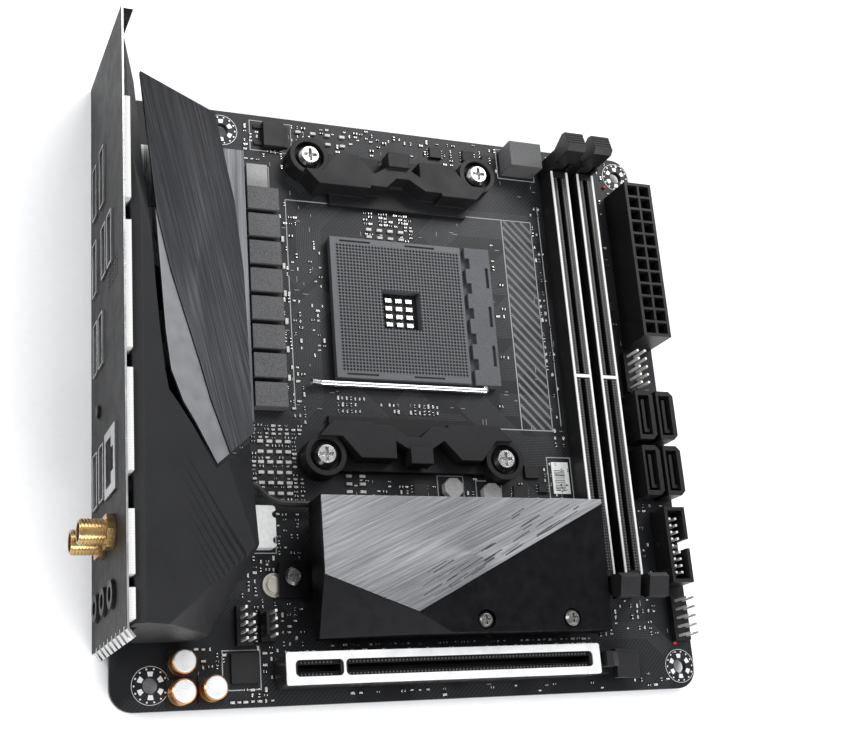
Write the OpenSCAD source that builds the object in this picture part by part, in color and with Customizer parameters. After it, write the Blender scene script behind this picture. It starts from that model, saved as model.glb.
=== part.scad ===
// Small square computer motherboard, lying flat with its components up.
// Feature positions are measured from the board's own corner between the rear
// connectors (x = 0) and the expansion slot edge (y = 0). z = 0 is the underside.
// The part's origin is the centre of the mounting hole nearest that corner.

/* [Board] */
// Side length of the square board
board_side = 170; // [169:0.5:172]
// Thickness of the board
board_t = 1.6; // [1.4:0.1:1.8]
// Corner radius of the board
corner_r = 6; // [3:0.5:6.5]
// Diameter of each mounting hole
mount_hole_d = 3.96; // [3.6:0.02:4.2]

/* [Processor socket] */
// Centre of the socket from the rear edge
socket_x = 84.4; // [83.5:0.1:85]
// Centre of the socket from the slot edge
socket_y = 110.3; // [109.5:0.1:111]
// Length of the sliding pin field cover along x
socket_w = 42.4; // [41:0.1:43]
// Width of the socket along y
socket_l = 43.4; // [42:0.1:44]
// Height of the socket above the board
socket_h = 3.4; // [3.2:0.1:3.8]
// Diameter of the lever rod
lever_d = 1.9; // [1.5:0.1:2]

/* [Cooler mounting] */
// Distance between cooler screws along x
cooler_pitch_x = 54; // [53.5:0.1:54.5]
// Distance between cooler screws along y
cooler_pitch_y = 90; // [89.5:0.1:90.5]
// Height of the bracket ridge above the board
bracket_h = 8.4; // [7:0.1:9]

/* [Rear cover and heatsink] */
// Height of the rear shield
shield_h = 44.45; // [44:0.05:45]
// Length of the rear shield
shield_l = 158.75; // [158:0.05:159]
// Wall thickness of the rear shield
shield_t = 0.6; // [0.5:0.05:0.7]
// Wall thickness of the plastic cover
cover_wall = 1.4; // [1.2:0.1:1.6]
// Number of grooves on the cover
cover_grooves = 8; // [0:1:8]
// Drop of the sloping top per unit of x
slope = 0.5; // [0.48:0.01:0.52]

/* [Power stage] */
// Number of power chokes
choke_count = 8; // [4:1:8]
// Distance between chokes
choke_pitch = 8.4; // [7.8:0.1:8.6]
// Height of a power choke
choke_h = 4; // [3:0.1:4.5]

/* [Memory slots] */
// Distance between the two memory slots
memory_pitch = 9.2; // [9:0.1:9.8]
// Width of a memory slot body
memory_w = 5.8; // [5.6:0.1:6]
// Height of a memory slot body above the board
memory_h = 7.8; // [7:0.1:8.2]
// Height of a latch above the board
latch_h = 21.3; // [20:0.1:22]

/* [Expansion slot] */
// Length of the expansion slot
slot_l = 89; // [88:0.5:90]
// Height of the expansion slot above the board
slot_h = 10.6; // [10:0.1:11]

/* [Storage cooler] */
// Length of the storage cooler
storage_l = 83.7; // [83:0.1:84]
// Width of the storage cooler
storage_w = 36.2; // [35.6:0.1:36.4]
// Height of the storage cooler's top plate above the board
storage_h = 18.4; // [18:0.1:19]

/* [Hidden] */
$fn = 48;
eps = 0.01;
top = board_t;
rear_hole = [10.16, 6.35];
far_hole_x = 165.1;
far_hole_y = 163.83;
corner_hole_x = 33.02;
mount_holes = [rear_hole, [far_hole_x, rear_hole.y], [far_hole_x, far_hole_y], [corner_hole_x, far_hole_y]];
cooler_dx = cooler_pitch_x / 2;
cooler_dy = cooler_pitch_y / 2;
cooler_spots = [for (sx = [-1, 1], sy = [-1, 1]) [socket_x + sx * cooler_dx, socket_y + sy * cooler_dy]];
post_r = 2.6;
post_top = top + 4.3;
post_bore_r = 1.6;
shield_x = -3.5;
shield_y = 14.9;
shield_z = -2.24;
shell_front = -4.1;
port_front = -2.85;
ridge_z = 41.2;
memory_x = [139.3, 139.3 + memory_pitch];
memory_y = [31, 159.4];
latch_pivot_out = 2.7;
latch_pivot_z = 3.6;
latch_pin_r = 0.9;
slot_y = 8.1;
slot_x = 42.8;
storage_x = 51.1;
storage_y = 15.3;
small_pin = 0.64;
black = [0.07, 0.07, 0.08];
steel = [0.75, 0.76, 0.78];
gold = [0.83, 0.62, 0.3];

// ---------- shared shapes ----------

// Moves children from board corner coordinates into the part's frame
module on_board() translate([-rear_hole.x, -rear_hole.y, 0]) children();

// Box between two opposite corners
module box(low, high) translate(low) cube(high - low);

// Flat outline of a rectangle with round corners
module rounded_outline(size, r) {
    translate([r, 0])
        square([size.x - 2 * r, size.y]);
    translate([0, r])
        square([size.x, size.y - 2 * r]);
    for (x = [r, size.x - r], y = [r, size.y - r])
        translate([x, y])
            circle(r);
}

// Plate with round corners between two opposite corners
module rounded_box(low, high, r)
    translate(low)
        linear_extrude(high.z - low.z)
            rounded_outline([high.x - low.x, high.y - low.y], r);

// Prism along y from a profile of [x, z] points
module y_prism(points, y0, y1)
    translate([0, y1, 0])
        rotate([90, 0, 0])
            linear_extrude(y1 - y0)
                polygon(points);

// Prism along x from a profile of [y, z] points
module x_prism(points, x0, x1)
    translate([x0, 0, 0])
        rotate([90, 0, 90])
            linear_extrude(x1 - x0)
                polygon(points);

// Everything above a plane through point p. turn is the plan angle of the plane's
// own u axis, fall_u its drop along u and rise_v its rise to the left of u.
module above_plane(p, turn, fall_u, rise_v) {
    tilt_y = atan(fall_u);
    tilt_x = atan(rise_v * cos(tilt_y));
    translate(p)
        rotate([0, 0, turn])
            rotate([tilt_x, tilt_y, 0])
                translate([-120, -120, 0])
                    cube([240, 240, 60]);
}

// Cross recess for a screwdriver, cut downwards from z = 0
module cross_recess(w, t, depth)
    for (a = [0, 90])
        rotate([0, 0, a])
            translate([-w / 2, -t / 2, -depth])
                cube([w, t, depth + 1]);

// Pan head screw standing on z = 0 with its shank below
module pan_screw(head_r, head_h, shank_r, shank_l) {
    difference() {
        union() {
            cylinder(r = head_r, h = head_h * 0.55);
            translate([0, 0, head_h * 0.55])
                cylinder(r1 = head_r, r2 = head_r * 0.72, h = head_h * 0.45);
        }
        translate([0, 0, head_h])
            cross_recess(head_r * 1.15, head_r * 0.28, head_h * 0.5);
    }
    translate([0, 0, -shank_l])
        cylinder(r = shank_r, h = shank_l + eps);
}

// ---------- board ----------

module pcb()
    color([0.05, 0.05, 0.06])
        on_board()
            difference() {
                rounded_box([0, 0, 0], [board_side, board_side, board_t], corner_r);
                for (p = mount_holes)
                    translate([p.x, p.y, -1])
                        cylinder(d = mount_hole_d, h = board_t + 2);
                for (p = cooler_spots)
                    translate([p.x, p.y, -1])
                        cylinder(r = post_r + 0.2, h = board_t + 2);
            }

// Soldered pin ends under the board, nx by ny at one pitch from a first corner
module solder_rows(first, nx, ny, pitch)
    for (i = [0 : nx - 1], j = [0 : ny - 1])
        translate([first.x + i * pitch.x, first.y + j * pitch.y, -1.3])
            cylinder(r1 = 0.35, r2 = 0.8, h = 1.3);

module solder_joints()
    color(steel)
        on_board() {
            solder_rows([162.5, 106.8], 2, 12, [4.2, 4.2]);
            solder_rows([159.3, 90.5], 2, 5, [2.54, 2.54]);
            solder_rows([164.9, 14.8], 2, 5, [2.54, 2.54]);
            solder_rows([163.9, 32.6], 2, 9, [2, 2]);
            solder_rows([4, 132], 2, 5, [6, 2.6]);
            solder_rows([4, 110], 2, 5, [6, 2.6]);
            solder_rows([4, 87.4], 2, 5, [6, 2.6]);
            solder_rows([4, 52], 2, 5, [6, 2.6]);
            solder_rows([3, 20], 3, 4, [5, 3.4]);
        }

// ---------- cooler mounting ----------

module backplate_insulator()
    color([0.12, 0.12, 0.12])
        on_board()
            translate([0, 0, -0.4])
                difference() {
                    backplate_shape(0.4);
                    for (p = cooler_spots)
                        translate([p.x, p.y, -1])
                            cylinder(r = post_r + 0.4, h = 3);
                }

// Backplate outline with its central window, h thick from z = 0
module backplate_shape(h)
    difference() {
        rounded_box([socket_x - 34, socket_y - 51.5, 0], [socket_x + 34, socket_y + 51.5, h], 6);
        translate([0, 0, -1])
            rounded_box([socket_x - 18, socket_y - 18, 0], [socket_x + 18, socket_y + 18, h + 2], 4);
    }

module cooler_backplate()
    color([0.2, 0.2, 0.21])
        on_board()
            difference() {
                union() {
                    translate([0, 0, -2.6])
                        backplate_shape(2.2);
                    for (p = cooler_spots)
                        translate([p.x, p.y, -1])
                            cylinder(r = post_r, h = post_top + 1);
                }
                for (p = cooler_spots)
                    translate([p.x, p.y, -2])
                        cylinder(r = post_bore_r, h = post_top + 3);
            }

// Cooler bracket in its own frame: u along x, v towards the socket, z = 0 on the board
module bracket_body() {
    ridge_h = bracket_h;
    difference() {
        union() {
            for (s = [-1, 1])
                translate([s * cooler_dx, 0, 0])
                    cylinder(r = 5.9, h = 6.6);
            box([-cooler_dx, -3.4, 0], [cooler_dx, 5.5, 2.6]);
            linear_extrude(ridge_h)
                polygon([[-29, 5], [-8.6, 5], [-3.4, 1.8], [3.4, 1.8], [8.6, 5], [29, 5],
                         [25, 9.3], [9.2, 9.3], [9, 8.4], [4, 8.4], [0.6, 5.2], [-3.2, 5.2],
                         [-8.4, 8.4], [-13.6, 8.4], [-13.8, 9.3], [-25, 9.3]]);
            box([-24, 5.2, 0], [20, 12.6, 1.8]);
            linear_extrude(ridge_h)
                polygon([[-22.8, 5.2], [-17.4, -1], [-7, -1], [-7, 5.2]]);
            linear_extrude(ridge_h)
                polygon([[7, 5.2], [12.7, -1], [19, -1], [24, 5.2]]);
            box([-3.2, -2.6, 0], [3.4, 2, ridge_h + 1.2]);
        }
        for (s = [-1, 1])
            translate([s * cooler_dx, 0, 0]) {
                translate([0, 0, -1])
                    cylinder(r = post_r + 0.15, h = 12);
                translate([0, 0, 4.4])
                    cylinder(r = 4.5, h = 12);
            }
        translate([0, -1.1, 3.4])
            rotate([0, 90, 0])
                translate([-0.9, -1.6, -4])
                    cube([1.8, 1.4, 8]);
    }
}

module cooler_bracket_upper()
    color(black)
        on_board()
            translate([socket_x, socket_y + cooler_dy, top])
                rotate([0, 0, 180])
                    bracket_body();

module cooler_bracket_lower()
    color(black)
        on_board()
            translate([socket_x, socket_y - cooler_dy, top])
                bracket_body();

module bracket_screws()
    color(steel)
        on_board()
            for (p = cooler_spots)
                translate([p.x, p.y, top + 4.5])
                    pan_screw(3.5, 3, post_bore_r - 0.05, 5);

// ---------- processor socket ----------

socket_left = socket_x - socket_w / 2;
socket_right = socket_x + socket_w / 2 + 8.6;
socket_low = socket_y - socket_l / 2;
socket_high = socket_y + socket_l / 2;
base_top = top + socket_h - 1.7;
lever_x = socket_right - 4.6;
lever_z = top + 1.9;
lever_y = socket_low - 1.25;
lever_r = lever_d / 2;

module socket_base()
    color([0.1, 0.1, 0.1])
        on_board()
            difference() {
                union() {
                    box([socket_left + 0.4, socket_low, top], [socket_right, socket_high, base_top]);
                    box([socket_right - 8.2, socket_low, base_top - eps], [socket_right, socket_high, top + socket_h]);
                }
                box([socket_x - 6.1, socket_y - 6.1, 0], [socket_x + 6.1, socket_y + 6.1, 9]);
                translate([lever_x, socket_high + 1, lever_z])
                    rotate([90, 0, 0])
                        cylinder(r = lever_r + 0.06, h = socket_l + 2);
                for (i = [0 : 4])
                    translate([socket_right - 8.3, socket_low + 4.6 + i * 8, base_top])
                        cube([1.6, 3.4, 4]);
                for (i = [0 : 2])
                    translate([socket_right - 1.8, socket_low + 6 + i * 12.4, top + socket_h - 1])
                        cube([1, 6.5, 2]);
            }

module socket_cover()
    color([0.13, 0.13, 0.13])
        on_board()
            difference() {
                box([socket_left, socket_low + 0.2, base_top + 0.08],
                    [socket_right - 9.6, socket_high - 0.2, top + socket_h]);
                box([socket_x - 5.9, socket_y - 5.9, 0], [socket_x + 5.9, socket_y + 5.9, 9]);
                for (y = [socket_low + 1, socket_high - 1.6], x = [socket_left + 3, socket_left + 23.5])
                    translate([x, y, top + socket_h - 0.6])
                        cube([9.5, 0.6, 1]);
            }

// Lever rod: an axle through the socket, a crank and the long arm beside the socket
module socket_lever() {
    arm_end = socket_left - 4.4;
    color(steel)
        on_board() {
            translate([lever_x, socket_high - 2, lever_z])
                rotate([90, 0, 0])
                    cylinder(r = lever_r, h = socket_high - 2 - lever_y);
            translate([lever_x, lever_y, lever_z])
                sphere(r = lever_r);
            translate([arm_end, lever_y, lever_z])
                rotate([0, 90, 0])
                    cylinder(r = lever_r, h = lever_x - arm_end);
            translate([arm_end, lever_y, lever_z])
                sphere(r = lever_r);
            translate([arm_end, lever_y, lever_z])
                rotate([0, -75, 0])
                    cylinder(r = lever_r, h = 3.2);
        }
}

module socket_capacitors()
    color([0.85, 0.84, 0.8])
        on_board()
            for (i = [0 : 2], j = [0 : 3])
                translate([socket_x - 4.2 + i * 3.2, socket_y - 4.4 + j * 2.5, top])
                    cube([2, 1.25, 1]);

// ---------- power stage ----------

choke_x = 39;
choke_w = 9.3;
choke_d = 6.9;
choke_top_y = 144.9;

module vrm_chokes()
    color([0.28, 0.28, 0.27])
        on_board()
            for (i = [0 : choke_count - 1])
                translate([choke_x, choke_top_y - choke_d - i * choke_pitch, top]) {
                    cube([choke_w, choke_d, choke_h]);
                    for (y = [0.8, choke_d - 2])
                        translate([choke_w - eps, y, 0])
                            cube([0.5, 1.2, choke_h - 1.2]);
                }

module vrm_mosfets()
    color(black)
        on_board()
            for (i = [0 : choke_count - 1])
                translate([31, choke_top_y - 6.2 - i * choke_pitch, top])
                    cube([5, 6, 0.9]);

module vrm_thermal_pad()
    color([0.55, 0.6, 0.66])
        on_board()
            box([30.5, 79, top + 0.9], [36.5, 146, top + 1.6]);

// Height of the sloping top at distance x from the rear edge
function slope_z(x) = ridge_z - slope * x;

// Left edge of the heatsink plates, from the upper end to the tip
plate_left = [[1.6, 156.4], [5.6, 119.5], [6.8, 102.8], [7.9, 87.4], [9.2, 77.9], [12.4, 70.4], [15.6, 66], [21.6, 56.2]];
// Line between the brushed plate and the accent plate
plate_split = [[5.8, 118.6], [9.3, 104.4], [13, 93.4], [17.1, 81.5], [20.1, 72], [25.2, 59.4]];
// Right edge of the brushed plate, from the tip to the upper end
plate_right = [[32.6, 66], [32.2, 69.1], [31.8, 90.6], [31.2, 109.9], [29.1, 129.4], [23.9, 153.4]];

// Part of the sloping slab between two depths below the slope, over a plan outline
module sloped_slab(outline, depth_top, depth_bottom)
    intersection() {
        linear_extrude(60)
            polygon(outline);
        y_prism([[-5, slope_z(-5) - depth_bottom], [45, slope_z(45) - depth_bottom],
                 [45, slope_z(45) - depth_top], [-5, slope_z(-5) - depth_top]], 10, 175);
    }

module heatsink_plate()
    color([0.3, 0.3, 0.32])
        on_board()
            sloped_slab(concat([plate_left[0]], plate_split, plate_right), 0, 1.5);

module accent_plate()
    color([0.45, 0.45, 0.47])
        on_board()
            translate([-0.15, -0.1, 0])
                sloped_slab(concat([for (i = [1 : len(plate_left) - 1]) plate_left[i]],
                                   [for (i = [len(plate_split) - 1 : -1 : 1]) plate_split[i]]), 0.3, 1.5);

module vrm_heatsink()
    color([0.16, 0.16, 0.17])
        on_board()
            difference() {
                union() {
                    box([27.5, 73.5, top + 1.6], [37.4, 154, top + 7.4]);
                    difference() {
                        sloped_slab([[20.4, 74], [31, 74], [30.6, 90.6], [30, 109.9], [28, 129.4], [23, 151], [20.4, 151]],
                                    1.5 + eps, 29);
                        box([15, 60, -10], [40, 160, top + 7.3]);
                    }
                }
                for (z = [14, 18, 22])
                    box([24.5, 70, z], [40, 155, z + 2]);
                for (z = [14, 18, 22, 26])
                    box([19, 70, z], [22.5, 155, z + 2]);
            }

module filter_inductors()
    color([0.6, 0.61, 0.62])
        on_board() {
            box([39.8, 146, top], [46, 153.3, top + 1.5]);
            for (p = [[96.6, 57.9], [108.6, 56.6]])
                translate([p.x, p.y, top])
                    rotate([0, 0, 22.5])
                        cylinder(r = 3, h = 2.4, $fn = 8);
        }

module input_choke()
    color([0.3, 0.31, 0.29])
        on_board()
            box([122.9, 159.7, top], [133.7, 167.9, top + 8]);

module input_mosfet()
    color(black)
        on_board() {
            box([45.2, 159.5, top], [51.4, 167.4, top + 2.3]);
            box([51.4 - eps, 160.2, top], [53, 166.8, top + 0.6]);
            for (y = [160.3, 165.7])
                box([42.6, y, top], [45.2 + eps, y + 1, top + 0.6]);
        }

module audio_capacitors()
    color(gold)
        on_board()
            for (p = [[17.6, 11.5], [17.4, 4.2], [25.4, 4.8]])
                translate([p.x, p.y, top]) {
                    translate([-3.3, -3.3, 0])
                        cube([6.6, 6.6, 0.7]);
                    cylinder(r = 3.15, h = 1.4);
                    cylinder(r = 2.9, h = 1.8);
                    cylinder(r = 3.15, h = 1.4);
                    translate([0, 0, 1.8 - eps])
                        cylinder(r = 3.15, h = 3.8);
                    translate([0, 0, 5.6])
                        cylinder(r1 = 3.15, r2 = 2.6, h = 0.5);
                }

// ---------- rear cover and shield ----------

cover_left = -1.2;
cover_low_y = 16.2;
// Plan outline of the cover
cover_outline = [
    [cover_left, cover_low_y], [21, cover_low_y], [33, 37.5], [33, 65], [21.2, 54.6], [14.6, 64.6],
    [10.8, 69.4], [8.2, 72.4], [7.2, 77.6], [5.9, 89.4], [5.1, 98.6], [3.5, 120.5], [2.6, 133],
    [1.3, 156.8], [0.5, 171], [cover_left, 171]
];
crease_low = [7.1, cover_low_y];
crease_high = [29.5, 34.7];
crease_turn = atan2(crease_high.y - crease_low.y, crease_high.x - crease_low.x);
crease_fall = slope * cos(crease_turn);
groove_turn = -54.5;

// Start of groove i from the rear edge, a little further in for each one
function groove_x(i) = 11.6 + 0.05 * i * i;

// Cover outside, shrunk on every side by inset
module cover_solid(inset)
    difference() {
        intersection() {
            linear_extrude(60)
                offset(delta = -inset)
                    polygon(cover_outline);
            y_prism([[-5, 0], [40, 0], [40, slope_z(40) - inset], [1.4, slope_z(1.4) - inset],
                     [-5, 38.6 - inset]], 5, 180);
        }
        above_plane([crease_low.x, crease_low.y, slope_z(crease_low.x) - inset * 1.6],
                    crease_turn, crease_fall, 1.75);
        above_plane([24.3, 56.9, slope_z(24.3) - inset * 1.2], -70, slope * cos(70), -1.02);
    }

module io_cover()
    color([0.11, 0.11, 0.12])
        on_board()
            difference() {
                cover_solid(0);
                difference() {
                    cover_solid(cover_wall);
                    box([21, 62, 0], [34, 66, 12]);
                }
                box([-5, 10, -1], [40, 180, 6.8]);
                box([-5, 71, -1], [40, 180, 33.6]);
                box([-5, 10, -1], [0.6, 180, 33.6]);
                for (i = [0 : 1 : cover_grooves - 1])
                    translate([groove_x(i), 58.4 - 3.75 * i, slope_z(groove_x(i)) + 0.8])
                        rotate([0, 0, groove_turn])
                            rotate([0, 17.5, 0])
                                rotate([45, 0, 0])
                                    translate([0, -0.55, -0.55])
                                        cube([32 - 2.6 * i, 1.1, 1.1]);
            }

// Window through the shield for a shell that is w wide and h high on centre y
module shield_window(y, z, w, h)
    box([shield_x - 1, y - w / 2 - 0.25, z - 0.25], [shield_x + 2, y + w / 2 + 0.25, z + h + 0.25]);

module shield_round(y, z, r)
    translate([shield_x - 1, y, z])
        rotate([0, 90, 0])
            cylinder(r = r, h = 3);

stack_y = [137.3, 115.2, 92.3, 57.1];
jack_y = 25;
jack_z = [6, 16.2, 26.4];
antenna_y = 39.6;
antenna_z = [15, 27];
button_pos = [74.4, 9.5];

module io_shield() {
    zt = shield_z + shield_h;
    color(steel)
        on_board()
            difference() {
                union() {
                    box([shield_x, shield_y, shield_z], [shield_x + shield_t, shield_y + shield_l, zt]);
                    box([shield_x, shield_y, shield_z], [-0.5, shield_y + shield_l, shield_z + shield_t]);
                    box([shield_x, shield_y + shield_l - shield_t, shield_z], [-0.3, shield_y + shield_l, zt]);
                    linear_extrude(zt)
                        polygon([[shield_x, shield_y], [shield_x + shield_t, shield_y],
                                 [shield_x + 2.1, shield_y - 1.9], [shield_x + 1.6, shield_y - 2.3]]);
                }
                for (i = [0 : 7])
                    translate([shield_x + 1.1, shield_y - 1.1, 3.6 + i * 5])
                        rotate([0, 90, -37])
                            translate([0, 0, -2])
                                cylinder(r = 1.1, h = 4);
                shield_window(stack_y[0], 3, 15.2, 5.6);
                shield_window(stack_y[0], 13.3, 16.8, 5.8);
                shield_window(stack_y[1], 2.7, 15.2, 5.6);
                for (z = [15.5, 23.4])
                    shield_window(stack_y[1], z, 14.4, 5.9);
                for (z = [3.5, 10.8])
                    shield_window(stack_y[2], z, 14.4, 5.9);
                for (z = [2.5, 11.2])
                    shield_window(stack_y[3], z, 14.4, 5.9);
                shield_window(stack_y[3], 19.3, 16.4, 13);
                for (z = jack_z)
                    shield_round(jack_y, z, 3.7);
                for (z = antenna_z)
                    shield_round(antenna_y, z, 3.4);
                shield_round(button_pos.x, button_pos.y, 2);
                for (i = [0 : 5], j = [0 : 3])
                    shield_round(102.5 + j * 1.7, 24 + i * 2.2, 0.55);
            }
}

module emi_gasket()
    color([0.88, 0.88, 0.86])
        on_board()
            for (span = [[17, 24], [27, 42], [51, 76], [81, 114], [120, 148]])
                box([shield_x + shield_t, span.x, 36], [cover_left - 0.1, span.y, 41.6]);

// ---------- rear connectors ----------

// Open metal shell along x with a tongue inside, centred on y, standing on z
module shell_port(y, z, w, h, tongue_w) {
    difference() {
        box([shell_front, y - w / 2, z], [port_front + eps, y + w / 2, z + h]);
        box([shell_front - 1, y - w / 2 + 0.4, z + 0.4], [port_front + 1, y + w / 2 - 0.4, z + h - 0.4]);
    }
    box([shell_front + 0.9, y - tongue_w / 2, z + h / 2 - 0.4],
        [port_front + 2, y + tongue_w / 2, z + h / 2 + 0.8]);
}

// Hollow behind a shell, cut out of a connector body
module port_hollow(y, z, w, h)
    box([port_front - 1, y - w / 2 + 0.4, z + 0.4], [8, y + w / 2 - 0.4, z + h - 0.4]);

// Connector body with shells: ports are [z, w, h, tongue_w]
module port_stack(y, w, height, depth, ports) {
    difference() {
        box([port_front, y - w / 2, top], [depth, y + w / 2, height]);
        for (p = ports)
            port_hollow(y, p[0], p[1], p[2]);
    }
    for (p = ports)
        shell_port(y, p[0], p[1], p[2], p[3]);
    for (p = ports)
        box([port_front + 1.9, y - p[3] / 2, p[0] + p[2] / 2 - 0.4], [8 + eps, y + p[3] / 2, p[0] + p[2] / 2 + 0.8]);
}

module display_port_stack()
    color(steel)
        on_board()
            port_stack(stack_y[0], 17.6, 20.4, 15, [[3, 15.2, 5.6, 10.4], [13.3, 16.8, 5.8, 11.2]]);

module usb_display_stack()
    color(steel)
        on_board()
            port_stack(stack_y[1], 16, 30.4, 15,
                       [[2.7, 15.2, 5.6, 10.4], [15.5, 14.4, 5.9, 11], [23.4, 14.4, 5.9, 11]]);

module usb_stack()
    color(steel)
        on_board()
            port_stack(stack_y[2], 15.6, 18, 15, [[3.5, 14.4, 5.9, 11], [10.8, 14.4, 5.9, 11]]);

module lan_usb_stack()
    color(steel)
        on_board() {
            difference() {
                port_stack(stack_y[3], 16.4, 32.3, 12.2, [[2.5, 14.4, 5.9, 11], [11.2, 14.4, 5.9, 11]]);
                box([port_front - 1, stack_y[3] - 5.9, 20.6], [10, stack_y[3] + 5.9, 27.8]);
                box([port_front - 1, stack_y[3] - 3, 27.7], [10, stack_y[3] + 3, 30.6]);
            }
            difference() {
                box([shell_front, stack_y[3] - 8.2, 19.3], [port_front + eps, stack_y[3] + 8.2, 32.3]);
                box([shell_front - 1, stack_y[3] - 5.9, 20.6], [0, stack_y[3] + 5.9, 27.8]);
                box([shell_front - 1, stack_y[3] - 3, 27.7], [0, stack_y[3] + 3, 30.6]);
            }
        }

// Threaded antenna socket pointing to -x
module antenna_socket() {
    difference() {
        union() {
            cylinder(r = 2.85, h = 13);
            for (i = [0 : 6])
                translate([0, 0, 7.3 + i * 0.8])
                    cylinder(r = 3.15, h = 0.5);
            translate([0, 0, 4.85])
                cylinder(r = 4.6, h = 2, $fn = 6);
        }
        translate([0, 0, 8])
            cylinder(r = 2.3, h = 8);
    }
    translate([0, 0, 7])
        cylinder(r = 0.6, h = 5);
}

module antenna_connectors()
    color(gold)
        on_board()
            for (z = antenna_z)
                translate([1.3, antenna_y, z])
                    rotate([0, -90, 0])
                        antenna_socket();

module wifi_module()
    color([0.62, 0.63, 0.64])
        on_board()
            box([1.3, 34.6, top], [16, 44.6, 30]);

module audio_jack_stack()
    color([0.12, 0.12, 0.12])
        on_board()
            difference() {
                union() {
                    box([port_front, jack_y - 6.5, top], [11.4, jack_y + 6.5, 30.6]);
                    for (z = jack_z)
                        translate([shell_front - 0.3, jack_y, z])
                            rotate([0, 90, 0])
                                cylinder(r = 3.4, h = 2);
                }
                for (z = jack_z)
                    translate([-6, jack_y, z])
                        rotate([0, 90, 0])
                            cylinder(r = 1.8, h = 18);
            }

module flash_switch()
    color(black)
        on_board()
            difference() {
                box([-1, button_pos.x - 3, top], [6, button_pos.x + 3, button_pos.y + 3]);
                translate([-2, button_pos.x, button_pos.y])
                    rotate([0, 90, 0])
                        cylinder(r = 1.65, h = 4.4);
            }

module flash_button()
    color([0.18, 0.18, 0.19])
        on_board()
            translate([-4.3, button_pos.x, button_pos.y])
                rotate([0, 90, 0])
                    cylinder(r = 1.6, h = 5.6);

// ---------- memory slots ----------

key_y = 91.6;

module memory_slots()
    color([0.1, 0.1, 0.1])
        on_board()
            for (x = memory_x) {
                difference() {
                    box([x - memory_w / 2, memory_y[0], top], [x + memory_w / 2, memory_y[1], top + memory_h]);
                    box([x - 0.75, memory_y[0] + 2, top + 2.6], [x + 0.75, key_y - 0.7, 20]);
                    box([x - 0.75, key_y + 0.7, top + 2.6], [x + 0.75, memory_y[1] - 2, 20]);
                }
                for (end = [0, 1])
                    memory_tower(x, end);
            }

// Fixed cheeks and pin that hold a latch at one end of a slot
module memory_tower(x, end) {
    out = end == 0 ? -1 : 1;
    y0 = memory_y[end];
    for (s = [-1, 1])
        translate([x + s * 2.55 - 0.5, y0 + (out > 0 ? -eps : -5), top])
            cube([1, 5 + eps, 11.5]);
    translate([x - 2.5, y0 + out * latch_pivot_out, top + latch_pivot_z])
        rotate([0, 90, 0])
            cylinder(r = latch_pin_r, h = 5);
}

module memory_slot_rails()
    color([0.85, 0.85, 0.84])
        on_board()
            for (x = memory_x) {
                for (s = [-1, 1])
                    translate([x + s * (memory_w / 2 - 0.28) - 0.3, memory_y[0] + 0.4, top + memory_h])
                        cube([0.6, memory_y[1] - memory_y[0] - 0.8, 0.45]);
                box([x - memory_w / 2 + 0.1, key_y - 0.45, top + memory_h],
                    [x + memory_w / 2 - 0.1, key_y + 0.45, top + memory_h + 0.4]);
            }

// Latch in its own frame: pivot at the origin, y outwards, z up
module latch_body(ribs) {
    head_top = latch_h - latch_pivot_z;
    difference() {
        union() {
            translate([-1.8, 0, 0])
                rotate([0, 90, 0])
                    cylinder(r = 2, h = 3.6);
            x_prism([[-1.9, 0], [2, 0], [2.1, 9], [-1.9, 9]], -1.8, 1.8);
            x_prism([[-1.9, 8.4], [2.1, 8.4], [4.8, head_top - 3.6], [4.5, head_top - 1.6],
                     [-0.6, head_top], [-1.9, head_top - 1.4]], -3.1, 3.1);
        }
        translate([-3, 0, 0])
            rotate([0, 90, 0])
                cylinder(r = latch_pin_r + 0.06, h = 6);
        for (i = [0 : 1 : ribs - 1])
            translate([-4, 0.3 + i * 0.95, head_top - 0.55 - i * 0.3])
                cube([8, 0.35, 2]);
    }
}

// Latch on slot i at the lower (0) or upper (1) end
module memory_latch(i, end)
    color([0.14, 0.14, 0.15])
        on_board()
            translate([memory_x[i], memory_y[end] + (end == 0 ? -1 : 1) * latch_pivot_out, top + latch_pivot_z])
                rotate([0, 0, end == 0 ? 180 : 0])
                    latch_body(end == 0 ? 0 : 4);

// ---------- board edge connectors ----------

power_low = [159.8, 104.1];
power_high = [169.4, 155.7];
power_top = 14.4;
power_pitch = 4.2;

module power_connector()
    color([0.1, 0.1, 0.1])
        on_board()
            difference() {
                union() {
                    box([power_low.x, power_low.y, top], [power_high.x, power_high.y, power_top]);
                    box([power_high.x - eps, 126, 8], [power_high.x + 0.9, 134, 9.6]);
                    box([power_high.x - eps, 122.4, 4], [power_high.x + 0.5, 137.4, 11]);
                }
                for (i = [0 : 1], j = [0 : 11])
                    translate([162.5 + i * power_pitch, 106.8 + j * power_pitch, 4]) {
                        translate([-1.7, -1.7, 0])
                            cube([3.4, 3.4, 20]);
                    }
            }

sata_x = [159.6, 166.8];
sata_y = [63, 80.2];

module sata_ports()
    color([0.1, 0.1, 0.1])
        on_board()
            for (x = sata_x, y = sata_y)
                translate([x, y, top]) {
                    difference() {
                        linear_extrude(8.4)
                            polygon([[-3, -7.6], [1.6, -7.6], [3, -6.2], [3, 6.2], [1.6, 7.6], [-3, 7.6]]);
                        translate([-2.2, -6.2, 2])
                            cube([3.8, 12.4, 10]);
                    }
                    translate([-0.6, -5.2, 2 - eps])
                        cube([1.1, 10.4, 5.2]);
                    translate([-0.6, -5.2, 2 - eps])
                        cube([2, 1.1, 5.2]);
                }

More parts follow.
